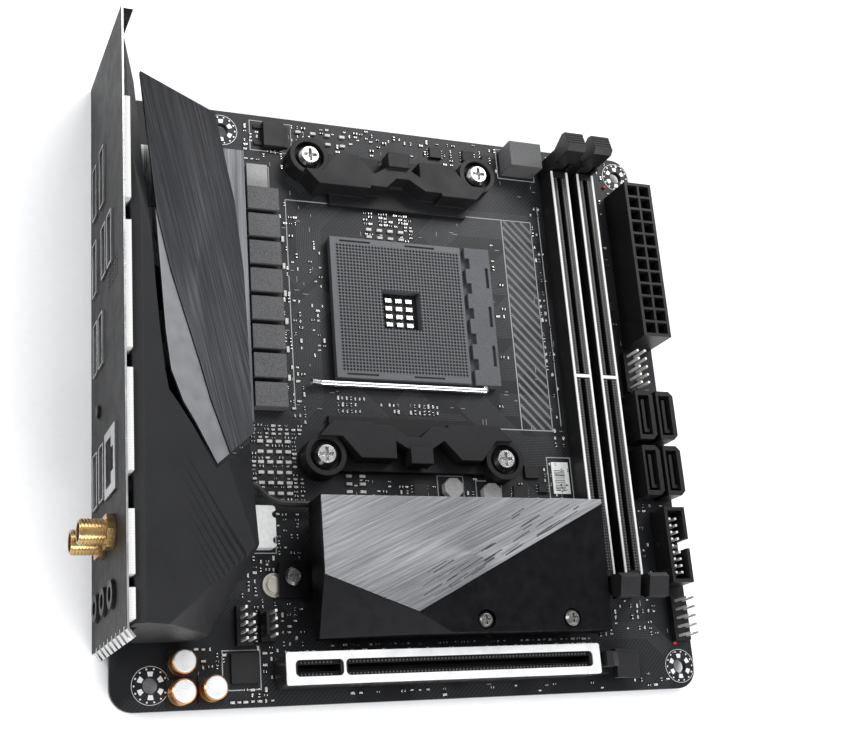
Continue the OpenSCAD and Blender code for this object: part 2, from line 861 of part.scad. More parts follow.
module usb3_header()
    color([0.1, 0.1, 0.1])
        on_board()
            difference() {
                box([161.4, 29.4, top], [168.4, 51.8, 10]);
                box([162.4, 30.4, 3], [167.4, 50.8, 12]);
                box([167, 39.4, 4], [169, 42.2, 12]);
            }

// White base strip of an open pin header
module header_base(low, high, h)
    box([low.x, low.y, top], [high.x, high.y, top + h]);

module usb2_header()
    color([0.88, 0.87, 0.83])
        on_board()
            header_base([158, 89.2], [163.1, 102], 2.5);

module panel_header()
    color([0.88, 0.87, 0.83])
        on_board()
            header_base([163.6, 13.5], [168.7, 26.3], 2.5);

module audio_header()
    color([0.1, 0.1, 0.1])
        on_board()
            header_base([32.2, 15.4], [36.6, 25.6], 2);

module fan_header()
    color([0.1, 0.1, 0.1])
        on_board() {
            header_base([38.6, 16.2], [42.6, 24.4], 2);
            box([38.6, 17.4, top + 2 - eps], [39.4, 23.2, 9]);
        }

// Square pins, nx by ny at one pitch from a first pin, up to height z
module pin_rows(first, nx, ny, pitch, foot, z)
    for (i = [0 : nx - 1], j = [0 : ny - 1])
        translate([first.x + i * pitch.x - small_pin / 2, first.y + j * pitch.y - small_pin / 2, foot])
            cube([small_pin, small_pin, z - foot]);

module connector_pins()
    color(steel)
        on_board() {
            pin_rows([159.3, 90.5], 2, 5, [2.54, 2.54], top + 2.5, 10.4);
            pin_rows([164.9, 14.8], 2, 5, [2.54, 2.54], top + 2.5, 10.4);
            pin_rows([33.4, 16.6], 2, 4, [1.95, 1.97], top + 2, 9);
            pin_rows([33.4, 24.5], 1, 1, [1.95, 1.97], top + 2, 9);
            pin_rows([41.2, 17.4], 1, 4, [2, 2], top + 2, 9);
            pin_rows([163.9, 32.6], 2, 9, [2, 2], 3, 8.4);
            pin_rows([162.5, 106.8], 2, 12, [power_pitch, power_pitch], 4, 10.5);
        }

// ---------- expansion slot ----------

short_cell = [2.4, 13.9];
long_cell = [15.9, 86.6];
slot_w = 7;
armour_t = 0.5;

latch_hinge = [slot_x + slot_l + 4.3, top + 2.6];

module expansion_slot() {
    x1 = slot_x + slot_l;
    color([0.1, 0.1, 0.1])
        on_board()
            difference() {
                union() {
                    box([slot_x, slot_y - slot_w / 2, top], [x1, slot_y + slot_w / 2, top + slot_h]);
                    for (s = [-1, 1])
                        box([x1 - eps, slot_y + s * 2.85 - 0.65, top],
                            [latch_hinge.x + 2.4, slot_y + s * 2.85 + 0.65, top + 4.8]);
                    translate([latch_hinge.x, slot_y + 2.6, latch_hinge.y])
                        rotate([90, 0, 0])
                            cylinder(r = 0.8, h = 5.2);
                }
                for (cell = [short_cell, long_cell])
                    box([slot_x + cell.x, slot_y - 0.95, 4], [slot_x + cell.y, slot_y + 0.95, 20]);
                for (cell = [short_cell, long_cell], s = [-1, 1])
                    box([slot_x + cell.x, slot_y + s * 1.5 - 0.5, top + slot_h - 0.8],
                        [slot_x + cell.y, slot_y + s * 1.5 + 0.5, 20]);
            }
}

module expansion_slot_armour() {
    out_w = slot_w / 2 + 0.12 + armour_t;
    z1 = top + slot_h + 0.12 + armour_t;
    color([0.86, 0.86, 0.85])
        on_board()
            difference() {
                rounded_box([slot_x - 0.7, slot_y - out_w, 3], [slot_x + slot_l + 0.6, slot_y + out_w, z1], 0.6);
                box([slot_x - 0.12, slot_y - slot_w / 2 - 0.12, 0],
                    [slot_x + slot_l + 0.12, slot_y + slot_w / 2 + 0.12, z1 - armour_t]);
                box([slot_x + slot_l, 0, 0], [slot_x + slot_l + 5, 20, top + 5]);
                for (cell = [short_cell, long_cell])
                    rounded_box([slot_x + cell.x - 0.7, slot_y - 2.1, 8],
                                [slot_x + cell.y + 0.7, slot_y + 2.1, 20], 1.2);
            }
}

// Card retention latch beyond the slot, hinged near the board, with a broad thumb pad
module expansion_slot_latch() {
    hx = latch_hinge.x;
    hz = latch_hinge.y;
    color([0.13, 0.13, 0.13])
        on_board()
            difference() {
                union() {
                    y_prism([[hx - 2, hz - 1], [hx + 1.6, hz - 1], [hx + 1.6, hz + 1.4], [hx + 4, 6.6],
                             [hx + 12.4, 5.4], [hx + 12.4, 6.4], [hx + 4, 9.4], [hx + 1, 12], [hx - 1, 12],
                             [hx - 2, 10]], slot_y - 2, slot_y + 2);
                    y_prism([[hx + 3.4, 6.8], [hx + 12.4, 5.4], [hx + 12.4, 6.4], [hx + 3.4, 9.4]],
                            slot_y - 5, slot_y + 3);
                    translate([hx, slot_y + 2, hz])
                        rotate([90, 0, 0])
                            cylinder(r = 1.8, h = 4);
                }
                translate([hx, slot_y + 4, hz])
                    rotate([90, 0, 0])
                        cylinder(r = 0.86, h = 8);
            }
}

// ---------- storage cooler and chipset ----------

storage_top = top + storage_h;
storage_foot = 9.6;
plate_t = 0.8;
plate_corner = [storage_x, 30.7];
plate_tip = [76.4, 20.8];
plate_far = [storage_x + storage_l - 0.5, 50];
storage_screw_x = [96.2, 122.4];
storage_screw_y = 18.6;
storage_screw_z = 17.2;

module m2_cover() {
    x1 = storage_x + storage_l;
    y1 = storage_y + storage_w;
    under = storage_top - plate_t;
    left_turn = atan2(plate_tip.y - plate_corner.y, plate_tip.x - plate_corner.x);
    right_turn = atan2(plate_far.y - plate_tip.y, plate_far.x - plate_tip.x);
    color([0.12, 0.12, 0.13])
        on_board()
            difference() {
                box([storage_x, storage_y, storage_foot], [x1, y1, under]);
                above_plane([plate_tip.x, plate_tip.y, under], left_turn, 0, 0.44);
                above_plane([plate_tip.x, plate_tip.y, under], right_turn, 0, 0.072);
                box([storage_x + 1.6, storage_y + 1.6, 0], [x1 - 1.6, y1 - 1.6, 13.2]);
                for (x = storage_screw_x)
                    translate([x, storage_screw_y, 0]) {
                        cylinder(r = 1.3, h = 30);
                        translate([0, 0, storage_screw_z - 0.3])
                            cylinder(r = 2.7, h = 30);
                    }
            }
}

module m2_plate()
    color([0.42, 0.42, 0.45])
        on_board()
            translate([0, 0, storage_top - plate_t])
                linear_extrude(plate_t)
                    polygon([[storage_x + 0.1, storage_y + storage_w - 0.2],
                             [plate_far.x, storage_y + storage_w - 0.2],
                             plate_far, plate_tip, plate_corner + [0.1, 0]]);

module m2_screws()
    color(steel)
        on_board() {
            for (x = storage_screw_x)
                translate([x, storage_screw_y, storage_screw_z - 0.3])
                    pan_screw(2.2, 1.5, 1.25, 7.4);
            translate([47.6, 32.8, 4.6])
                pan_screw(2.5, 1.4, 1.25, 2.9);
        }

module m2_socket()
    color([0.12, 0.12, 0.12])
        on_board()
            difference() {
                box([127.6, 24.4, top], [132.8, 46.6, 12.6]);
                box([126, 25.4, 10.4], [131.6, 45.6, 11.4]);
            }

module m2_standoff()
    color(steel)
        on_board()
            translate([43, 31, top]) {
                cylinder(r = 3.2, h = 0.8);
                cylinder(r = 2.1, h = 1.6);
            }

module chipset_heatsink()
    color([0.14, 0.14, 0.15])
        on_board()
            difference() {
                union() {
                    box([62, 17, 3.6], [127.2, 50.6, 9.2]);
                    box([53.4, 17, 3.6], [62 + eps, 48.4, 9.2]);
                    box([43.8, 27.4, 3.6], [53.4 + eps, 37.2, 4.6]);
                }
                translate([47.6, 32.8, 0])
                    cylinder(r = 1.35, h = 9);
                for (i = [0 : 9])
                    box([58, 19 + i * 3, 6.4], [125, 20.6 + i * 3, 12]);
            }

module control_chips()
    color(black)
        on_board() {
            box([102, 26, top], [122, 46, 3.5]);
            box([30.7, 6, top], [38, 13.6, 2.6]);
            box([66, 24, top], [74, 32, 2.6]);
            box([152.9, 142, top], [157, 147, 2.6]);
            box([120.4, 61.6, top], [125, 65.4, 2.5]);
        }

// ---------- battery ----------

lead_z = 5.1;
lead_r = 0.9;

module battery()
    color([0.9, 0.9, 0.89])
        on_board()
            difference() {
                rounded_box([23.4, 40.4, top], [43.4, 51.8, top + 3.4], 1);
                for (y = [42.4, 49.4])
                    translate([43.4, y, 0])
                        cylinder(r = 1, h = 9);
            }

// Points on an arc about centre c, from angle a0 to a1 in n steps
function arc_points(c, r, a0, a1, n) = [for (i = [0 : n]) c + r * [cos(a0 + (a1 - a0) * i / n), sin(a0 + (a1 - a0) * i / n)]];

lead_turn_c = [36.8, 54.4];
lead_turn_r = 3;
lead_sweep_r = 9;
lead_meet = 35;
lead_sweep_c = lead_turn_c + (lead_turn_r + lead_sweep_r) * [cos(lead_meet), sin(lead_meet)];
lead_end_x = 56.6;
// Route of the lead: up from the battery, over a bend and down to the plug
lead_path = concat(
    [lead_turn_c + [-lead_turn_r, -2.5]],
    arc_points(lead_turn_c, lead_turn_r, 180, lead_meet, 8),
    [for (p = arc_points(lead_sweep_c, lead_sweep_r, 180 + lead_meet, 270, 6)) if (p.x > 39.3) p],
    [[lead_end_x + eps, lead_sweep_c.y - lead_sweep_r]]
);
lead_sides = 8;

// Direction of the path at point i
function path_way(path, i) =
    let (a = path[max(i - 1, 0)], b = path[min(i + 1, len(path) - 1)])
    (b - a) / norm(b - a);

// Ring of points round path point i
function tube_ring(path, i, r, sides, z) =
    let (way = path_way(path, i))
    [for (k = [0 : sides - 1])
        let (a = 360 * k / sides)
        [path[i].x - way.y * r * cos(a), path[i].y + way.x * r * cos(a), z + r * sin(a)]];

// Round tube swept along a path at height z
module swept_tube(path, r, sides, z) {
    n = len(path);
    rings = [for (i = [0 : n - 1]) each tube_ring(path, i, r, sides, z)];
    walls = [for (i = [0 : n - 2], k = [0 : sides - 1])
        [i * sides + k, (i + 1) * sides + k, (i + 1) * sides + (k + 1) % sides, i * sides + (k + 1) % sides]];
    first = [for (k = [0 : sides - 1]) k];
    last = [for (k = [sides - 1 : -1 : 0]) (n - 1) * sides + k];
    polyhedron(rings, concat(walls, [first], [last]));
}

module battery_lead()
    color(black)
        on_board() {
            swept_tube(lead_path, lead_r, lead_sides, lead_z);
            box([lead_end_x, 50.8, top], [lead_end_x + 3.6, 53.8, 6.6]);
        }

// ---------- small ceramic capacitors ----------

// Grid of small parts, nx by ny from a first corner
module ceramic_grid(first, nx, ny, pitch, size)
    for (i = [0 : nx - 1], j = [0 : ny - 1])
        translate([first.x + i * pitch.x, first.y + j * pitch.y, top])
            cube(size);

module ceramic_capacitors()
    color([0.75, 0.72, 0.66])
        on_board() {
            ceramic_grid([40, 55.4], 4, 6, [2.6, 2.9], [1.6, 0.8, 0.7]);
            ceramic_grid([65, 56.2], 2, 3, [4, 2.2], [1.6, 0.8, 0.7]);
            ceramic_grid([76, 133.6], 4, 2, [3.4, 2.4], [1.6, 0.8, 0.7]);
            ceramic_grid([55.6, 162.6], 4, 2, [4.6, 3], [1.6, 0.8, 0.7]);
            ceramic_grid([49.6, 88], 1, 6, [2, 8.4], [0.8, 1.6, 0.7]);
        }

// ---------- assembly ----------

pcb();
solder_joints();
backplate_insulator();
cooler_backplate();
socket_base();
socket_cover();
socket_lever();
socket_capacitors();
cooler_bracket_upper();
cooler_bracket_lower();
bracket_screws();
vrm_heatsink();
heatsink_plate();
accent_plate();
vrm_thermal_pad();
vrm_mosfets();
vrm_chokes();
filter_inductors();
input_choke();
input_mosfet();
audio_capacitors();
io_cover();
io_shield();
emi_gasket();
display_port_stack();
usb_display_stack();
usb_stack();
lan_usb_stack();
antenna_connectors();
wifi_module();
audio_jack_stack();
flash_button();
flash_switch();
memory_slots();
memory_slot_rails();
memory_latch(0, 1);  // memory_latch_1
memory_latch(1, 1);  // memory_latch_2
memory_latch(0, 0);  // memory_latch_3
memory_latch(1, 0);  // memory_latch_4
power_connector();
sata_ports();
usb3_header();
usb2_header();
panel_header();
audio_header();
fan_header();
connector_pins();
expansion_slot();
expansion_slot_armour();
expansion_slot_latch();
m2_cover();
m2_plate();
m2_screws();
m2_socket();
m2_standoff();
control_chips();
chipset_heatsink();
battery();
battery_lead();
ceramic_capacitors();
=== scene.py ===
"""Looks of a small square computer motherboard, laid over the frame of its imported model.

Lengths inside the classes are millimetres from the board's rear slot-side corner, and
the Board class turns them into metres in the frame.
"""

import logging
import math
from dataclasses import dataclass, field
from enum import Enum

import bpy
import numpy as np
from mathutils import Matrix, Vector


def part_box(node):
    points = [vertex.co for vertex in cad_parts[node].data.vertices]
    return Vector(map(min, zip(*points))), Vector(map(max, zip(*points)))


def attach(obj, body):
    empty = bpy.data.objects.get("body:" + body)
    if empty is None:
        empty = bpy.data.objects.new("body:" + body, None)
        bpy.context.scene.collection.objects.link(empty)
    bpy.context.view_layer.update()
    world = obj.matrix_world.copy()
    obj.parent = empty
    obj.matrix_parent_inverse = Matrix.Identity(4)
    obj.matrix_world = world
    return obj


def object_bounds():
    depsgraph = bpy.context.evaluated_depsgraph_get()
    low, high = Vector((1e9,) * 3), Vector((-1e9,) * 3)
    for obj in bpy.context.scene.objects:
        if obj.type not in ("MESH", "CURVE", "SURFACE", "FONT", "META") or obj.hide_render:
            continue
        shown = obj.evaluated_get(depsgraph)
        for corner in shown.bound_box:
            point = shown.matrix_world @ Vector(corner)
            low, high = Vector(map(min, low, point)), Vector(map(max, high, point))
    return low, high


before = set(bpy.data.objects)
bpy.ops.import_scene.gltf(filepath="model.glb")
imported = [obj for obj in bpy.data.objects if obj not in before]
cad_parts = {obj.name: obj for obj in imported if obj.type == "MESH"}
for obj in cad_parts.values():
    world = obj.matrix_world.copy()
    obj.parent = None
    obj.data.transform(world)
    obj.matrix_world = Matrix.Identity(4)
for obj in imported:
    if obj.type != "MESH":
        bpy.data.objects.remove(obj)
CAD_BOX = [list(corner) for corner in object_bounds()]

LOG = logging.getLogger("motherboard")
MM = 0.001
Pair = tuple[float, float]
Triple = tuple[float, float, float]
Shell = tuple[np.ndarray, np.ndarray]


class Lay(Enum):
    """Which way a chip part lies on the board."""

    ALONG_X = 0.0
    ALONG_Y = 90.0
    ANY = -1.0


class Tone(Enum):
    """Linear base colours shared between finishes."""

    MASK = (0.006, 0.0063, 0.0072)
    TRACE = (0.030, 0.031, 0.034)
    INK = (0.32, 0.33, 0.33)
    HATCH = (0.13, 0.133, 0.138)
    TIN = (0.74, 0.74, 0.73)
    GOLD = (0.60, 0.40, 0.17)
    BLACK = (0.004, 0.004, 0.0043)
    CHARCOAL = (0.008, 0.0082, 0.009)
    RESIN = (0.009, 0.009, 0.0095)
    SOCKET = (0.066, 0.068, 0.074)
    WHITE = (0.72, 0.72, 0.70)


# ---------- shapes ----------


def joined(shells: list[Shell]) -> Shell:
    """Puts several shells into one list of points and quads.

    Args:
        shells: point and quad arrays.

    Returns:
        One point array and one quad array.
    """
    points, quads, base = [], [], 0
    for p, q in shells:
        points.append(p)
        quads.append(q + base)
        base += len(p)
    return np.vstack(points), np.vstack(quads)


def blocks(low: np.ndarray, high: np.ndarray) -> Shell:
    """Closed blocks between low and high corners, one per row.

    Corner k of a block takes high's x, y or z where bit 0, 1 or 2 of k is set.

    Args:
        low: lowest corners, one row each.
        high: highest corners, one row each.

    Returns:
        Points and outward quads.
    """
    low, high = np.atleast_2d(np.asarray(low, float)), np.atleast_2d(np.asarray(high, float))
    bits = np.array([[(k >> a) & 1 for a in range(3)] for k in range(8)], bool)
    points = np.where(bits[None], high[:, None], low[:, None]).reshape(-1, 3)
    ring = np.array([[0, 2, 3, 1], [4, 5, 7, 6], [0, 1, 5, 4], [2, 6, 7, 3], [0, 4, 6, 2], [1, 3, 7, 5]])
    quads = (ring[None] + 8 * np.arange(len(low))[:, None, None]).reshape(-1, 4)
    return points, quads


def chamfered_blocks(centre: np.ndarray, size: np.ndarray, turn: np.ndarray, edge: float) -> Shell:
    """Blocks that stand on a face and narrow by one chamfer round their top.

    Three rectangular rings are stacked, at the foot, just below the top and at the top,
    where the last is smaller by edge; a row's place is its foot's centre turned by turn.

    Args:
        centre: foot centres, one row each.
        size: full sizes along x, y and z, one row each.
        turn: plan angles in degrees.
        edge: width of the chamfer.

    Returns:
        Points and outward quads.
    """
    centre, size = np.atleast_2d(centre).astype(float), np.atleast_2d(size).astype(float)
    count = len(centre)
    corner = np.array([[-0.5, -0.5], [0.5, -0.5], [0.5, 0.5], [-0.5, 0.5]])
    plan = corner[None] * size[:, None, :2]
    small = plan - np.sign(plan) * edge
    z = np.stack([np.zeros(count), size[:, 2] - edge, size[:, 2]], 1)
    rings = np.concatenate([plan, plan, small], 1)
    a = np.radians(turn)[:, None]
    x = rings[..., 0] * np.cos(a) - rings[..., 1] * np.sin(a)
    y = rings[..., 0] * np.sin(a) + rings[..., 1] * np.cos(a)
    points = np.stack([x, y, np.repeat(z, 4, 1)], -1) + centre[:, None]
    walls = [
        [r * 4 + k, r * 4 + (k + 1) % 4, (r + 1) * 4 + (k + 1) % 4, (r + 1) * 4 + k]
        for r in (0, 1)
        for k in range(4)
    ]
    ring = np.array(walls + [[8, 9, 10, 11], [3, 2, 1, 0]])
    quads = (ring[None] + 12 * np.arange(count)[:, None, None]).reshape(-1, 4)
    return points.reshape(-1, 3), quads


def ribbons(path: list[Pair], offsets: np.ndarray, width: float, low: float, high: float) -> Shell:
    """Parallel flat strips that follow one path with mitred bends.

    A strip's two edges lie at its offset plus and minus half its width, measured along each
    bend's mitre, which is the bisector lengthened by one over the cosine of half the bend.

    Args:
        path: corner points of the middle line.
        offsets: sideways distances of the strips.
        width: width of a strip.
        low: height of the strips' undersides.
        high: height of their tops.

    Returns:
        Points and outward quads.
    """
    line = np.asarray(path, float)
    way = np.diff(line, axis=0)
    way /= np.linalg.norm(way, axis=1, keepdims=True)
    side = np.stack([-way[:, 1], way[:, 0]], 1)
    first, last = np.vstack([side[:1], side]), np.vstack([side, side[-1:]])
    mitre = first + last
    mitre /= np.linalg.norm(mitre, axis=1, keepdims=True)
    mitre /= np.maximum((mitre * first).sum(1, keepdims=True), 0.35)
    offsets = np.asarray(offsets, float)
    reach = np.stack([offsets - width / 2, offsets + width / 2], 1)
    plan = line[None, :, None] + mitre[None, :, None] * reach[:, None, :, None]
    strips, knots = len(offsets), len(line)
    z = np.broadcast_to(np.array([low, high])[None, None, None, :, None], (strips, knots, 2, 2, 1))
    plan = np.broadcast_to(plan[:, :, :, None], (strips, knots, 2, 2, 2))
    points = np.concatenate([plan, z], -1).reshape(-1, 3)
    step = np.array([[1, 3, 7, 5], [0, 4, 6, 2], [0, 1, 5, 4], [2, 6, 7, 3]])[:, ::-1]
    walls = (step[None] + 4 * np.arange(knots - 1)[:, None, None]).reshape(-1, 4)
    ends = np.array([[0, 1, 3, 2], [4 * knots - 4, 4 * knots - 2, 4 * knots - 1, 4 * knots - 3]])[:, ::-1]
    ring = np.vstack([walls, ends])
    quads = (ring[None] + 4 * knots * np.arange(strips)[:, None, None]).reshape(-1, 4)
    return points, quads


def turned(profile: list[Pair], centre: Triple, sides: int, start: float = 0.0, sweep: float = 360.0) -> Shell:
    """A closed ring made by carrying a closed profile round a vertical axis.

    Point (r, z) of the profile at turn a lies at centre + (r cos a, r sin a, z).

    Args:
        profile: radius and height pairs, anticlockwise in the r, z plane.
        centre: a point on the axis.
        sides: number of steps of the whole turn.
        start: first angle in degrees.
        sweep: angle turned through.

    Returns:
        Points and outward quads.
    """
    shape = np.asarray(profile, float)
    whole = sweep > 359.9
    count = sides if whole else sides + 1
    a = np.radians(start + sweep * np.arange(count) / sides)
    points = np.stack(
        [
            centre[0] + np.outer(np.cos(a), shape[:, 0]),
            centre[1] + np.outer(np.sin(a), shape[:, 0]),
            centre[2] + np.outer(np.ones(count), shape[:, 1]),
        ],
        -1,
    ).reshape(-1, 3)
    n = len(shape)
    i, j = np.meshgrid(np.arange(count if whole else count - 1), np.arange(n), indexing="ij")
    after = (i + 1) % count
    quads = np.stack([i * n + j, after * n + j, after * n + (j + 1) % n, i * n + (j + 1) % n], -1).reshape(-1, 4)
    if not whole and n == 4:
        quads = np.vstack([quads, [[0, 1, 2, 3]], [[(count - 1) * n + k for k in (3, 2, 1, 0)]]])
    return points, quads[:, ::-1]


# ---------- board frame ----------


@dataclass
class Board:
    """The board's own corner and face, and what already stands on it.

    Attributes:
        corner: lowest corner of the board in metres.
        top: height of the component face in millimetres.
        side: side length in millimetres.
        cell: size of one square of the map of used places, in millimetres.
    """

    corner: Vector
    top: float
    side: float
    cell: float = 0.25
    used: np.ndarray = field(default_factory=lambda: np.zeros((1, 1), bool))

    @classmethod
    def from_frame(cls) -> "Board":
        """Reads the board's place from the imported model.

        Returns:
            The board frame.
        """
        low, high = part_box("pcb")
        return cls(Vector((low[0], low[1], low[2])), (high[2] - low[2]) / MM, (high[0] - low[0]) / MM)

    def metres(self, points: np.ndarray) -> np.ndarray:
        """Turns board millimetres into metres in the frame.

        Args:
            points: points, one row each.

        Returns:
            The points in metres in the shared frame.
        """
        return np.asarray(points, float) * MM + np.array([self.corner.x, self.corner.y, self.corner.z])

    def local(self, points: np.ndarray) -> np.ndarray:
        """Turns metres in the frame into board millimetres.

        Args:
            points: points, one row each.

        Returns:
            The points in board millimetres.
        """
        return (np.asarray(points, float) - np.array([self.corner.x, self.corner.y, self.corner.z])) / MM

    def survey(self, skip: set[str], reach: float) -> None:
        """Marks every square that a low part of the model stands over.

        Args:
            skip: nodes that don't count.
            reach: only triangles with a corner below this height count.
        """
        count = int(self.side / self.cell) + 2
        self.used = np.zeros((count, count), bool)
        for name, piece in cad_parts.items():
            if name in skip:
                continue
            mesh = piece.data
            mesh.calc_loop_triangles()
            flat = np.empty(len(mesh.vertices) * 3, np.float32)
            mesh.vertices.foreach_get("co", flat)
            index = np.empty(len(mesh.loop_triangles) * 3, np.int32)
            mesh.loop_triangles.foreach_get("vertices", index)
            corners = self.local(flat.reshape(-1, 3))[index.reshape(-1, 3)]
            corners = corners[corners[:, :, 2].min(1) < reach]
            low = np.clip((corners[:, :, :2].min(1) / self.cell).astype(int), 0, count - 1)
            high = np.clip((corners[:, :, :2].max(1) / self.cell).astype(int) + 1, 0, count)
            for (x0, y0), (x1, y1) in zip(low, high):
                self.used[x0:x1, y0:y1] = True

    def take(self, x: float, y: float, dx: float, dy: float) -> bool:
        """Takes a rectangle if it is free.

        Args:
            x: centre along x.
            y: centre along y.
            dx: full width.
            dy: full depth.

        Returns:
            True if it was free and is now taken.
        """
        if not (dx / 2 + 0.6 < x < self.side - dx / 2 - 0.6 and dy / 2 + 0.6 < y < self.side - dy / 2 - 0.6):
            return False
        x0, x1 = int((x - dx / 2) / self.cell), int((x + dx / 2) / self.cell) + 1
        y0, y1 = int((y - dy / 2) / self.cell), int((y + dy / 2) / self.cell) + 1
        if self.used[x0:x1, y0:y1].any():
            return False
        self.used[x0:x1, y0:y1] = True
        return True


def place(
    name: str, shell: Shell, board: Board, finish: bpy.types.Material, body: str = "board"
) -> bpy.types.Object:
    """Makes a piece out of board millimetres and lets it ride.

    Args:
        name: the piece's name.
        shell: points in board millimetres and quads.
        board: the board frame.
        finish: its material.
        body: the body it rides on.

    Returns:
        The new object.
    """
    points, quads = shell
    mesh = bpy.data.meshes.new(name)
    mesh.from_pydata(board.metres(points).tolist(), [], quads.tolist())
    mesh.update()
    piece = bpy.data.objects.new(name, mesh)
    bpy.context.scene.collection.objects.link(piece)
    mesh.materials.append(finish)
    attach(piece, body)
    LOG.info("%s: %d faces", name, len(quads))
    return piece


# ---------- finishes ----------


class Sheet:
    """A material's node tree while it is laid out."""

    def __init__(self, name: str) -> None:
        """Starts a material with one surface shader.

        Args:
            name: its name.
        """
        self.material = bpy.data.materials.new(name)
        self.material.use_nodes = True
        self.tree = self.material.node_tree
        self.shader = self.tree.nodes["Principled BSDF"]
        self.place = self.add("ShaderNodeTexCoord").outputs["Object"]

    def add(self, kind: str, **values: object) -> bpy.types.Node:
        """Adds a node and sets its properties or sockets.

        Args:
            kind: the node's type.
            values: property names, or socket names with underscores for spaces.

        Returns:
            The node.
        """
        node = self.tree.nodes.new(kind)
        for key, value in values.items():
            if hasattr(node, key):
                setattr(node, key, value)
            else:
                node.inputs[key.replace("_", " ")].default_value = value
        return node

    def link(self, source: bpy.types.NodeSocket, target: bpy.types.NodeSocket) -> None:
        """Joins two sockets.

        Args:
            source: where the value comes from.
            target: where it goes.
        """
        self.tree.links.new(source, target)

    def noise(
        self, grain: float, detail: float = 4.0, stretch: Triple = (1, 1, 1), turn: float = 0.0
    ) -> bpy.types.NodeSocket:
        """Noise on the object's own place.

        Args:
            grain: size of one grain in millimetres.
            detail: octaves of finer noise.
            stretch: how much longer than a grain it is along each axis.
            turn: plan angle of the stretched axes in degrees.

        Returns:
            The noise value's socket.
        """
        turned_place = self.add("ShaderNodeMapping", vector_type="POINT")
        turned_place.inputs["Rotation"].default_value = (0, 0, -math.radians(turn))
        scaled = self.add("ShaderNodeVectorMath", operation="MULTIPLY")
        scaled.inputs[1].default_value = tuple(1 / (MM * grain * s) for s in stretch)
        texture = self.add("ShaderNodeTexNoise", Scale=1.0, Detail=detail, Roughness=0.6)
        self.link(self.place, turned_place.inputs["Vector"])
        self.link(turned_place.outputs["Vector"], scaled.inputs[0])
        self.link(scaled.outputs["Vector"], texture.inputs["Vector"])
        return texture.outputs["Fac"]

    def ramp(
        self, value: bpy.types.NodeSocket, low: float, high: float, out: Pair = (0.0, 1.0)
    ) -> bpy.types.NodeSocket:
        """Maps a value's range onto another, clamped.

        Args:
            value: the value's socket.
            low: value that gives the first output.
            high: value that gives the second.
            out: the two outputs.

        Returns:
            The mapped value's socket.
        """
        node = self.add("ShaderNodeMapRange", clamp=True)
        node.inputs["From Min"].default_value = low
        node.inputs["From Max"].default_value = high
        node.inputs["To Min"].default_value = out[0]
        node.inputs["To Max"].default_value = out[1]
        self.link(value, node.inputs["Value"])
        return node.outputs["Result"]

    def math(self, operation: str, a: object, b: object = 0.0) -> bpy.types.NodeSocket:
        """One sum on two values.

        Args:
            operation: the Math node's operation.
            a: a socket or number.
            b: a socket or number.

        Returns:
            The result's socket.
        """
        node = self.add("ShaderNodeMath", operation=operation)
        for socket, value in zip(node.inputs, (a, b)):
            if isinstance(value, (int, float)):
                socket.default_value = value
            else:
                self.link(value, socket)
        return node.outputs[0]

    def mix(self, share: bpy.types.NodeSocket, a: object, b: object) -> bpy.types.NodeSocket:
        """Mixes two colours.

        Args:
            share: how much of b, from 0 to 1.
            a: a colour or socket.
            b: a colour or socket.

        Returns:
            The mixed colour's socket.
        """
        node = self.add("ShaderNodeMix", data_type="RGBA")
        self.link(share, node.inputs[0])
        for socket, value in ((node.inputs[6], a), (node.inputs[7], b)):
            if isinstance(value, tuple):
                socket.default_value = (*value, 1.0)
            else:
                self.link(value, socket)
        return node.outputs[2]

    def bump(self, height: bpy.types.NodeSocket, depth: float, edge: float) -> None:
        """Gives the shader a bumped normal over slightly rounded edges.

        Args:
            height: the height's socket, from 0 to 1.
            depth: height of 1 in millimetres.
            edge: radius of the rounded edges in millimetres.
        """
        node = self.add("ShaderNodeBump", Strength=0.6, Distance=depth * MM)
        self.link(height, node.inputs["Height"])
        if edge > 0:
            rounded = self.add("ShaderNodeBevel", samples=4, Radius=edge * MM)
            self.link(rounded.outputs["Normal"], node.inputs["Normal"])
        self.link(node.outputs["Normal"], self.shader.inputs["Normal"])

    def axis(self, index: int) -> bpy.types.NodeSocket:
        """One coordinate of the object's own place, in metres.

        Args:
            index: 0, 1 or 2 for x, y or z.

        Returns:
            The coordinate.
        """
        node = self.add("ShaderNodeSeparateXYZ")
        self.link(self.place, node.inputs[0])
        return node.outputs[index]


@dataclass(frozen=True)
class Moulded:
    """Moulded plastic or resin: a fine grain, soft smudges and rounded edges."""

    name: str
    colour: Triple
    rough: float = 0.5
    grain: float = 0.25
    depth: float = 0.02
    edge: float = 0.18
    fleck: float = 0.25
    gloss: float = 0.3

    def material(self) -> bpy.types.Material:
        """Lays out the material.

        Returns:
            The material.
        """
        s = Sheet(self.name)
        grain = s.noise(self.grain)
        smudge = s.noise(9.0, 3.0)
        pale = tuple(min(1.0, c * (1 + self.fleck) + 0.004) for c in self.colour)
        deep = tuple(c * (1 - self.fleck) for c in self.colour)
        s.link(s.mix(s.ramp(grain, 0.35, 0.65), deep, pale), s.shader.inputs["Base Color"])
        even = s.ramp(grain, 0.3, 0.7, (self.rough - 0.04, self.rough + 0.05))
        rough = s.math("ADD", s.ramp(smudge, 0.3, 0.7, (-0.08, 0.08)), even)
        s.link(rough, s.shader.inputs["Roughness"])
        s.shader.inputs["Specular IOR Level"].default_value = self.gloss
        s.bump(grain, self.depth, self.edge)
        return s.material


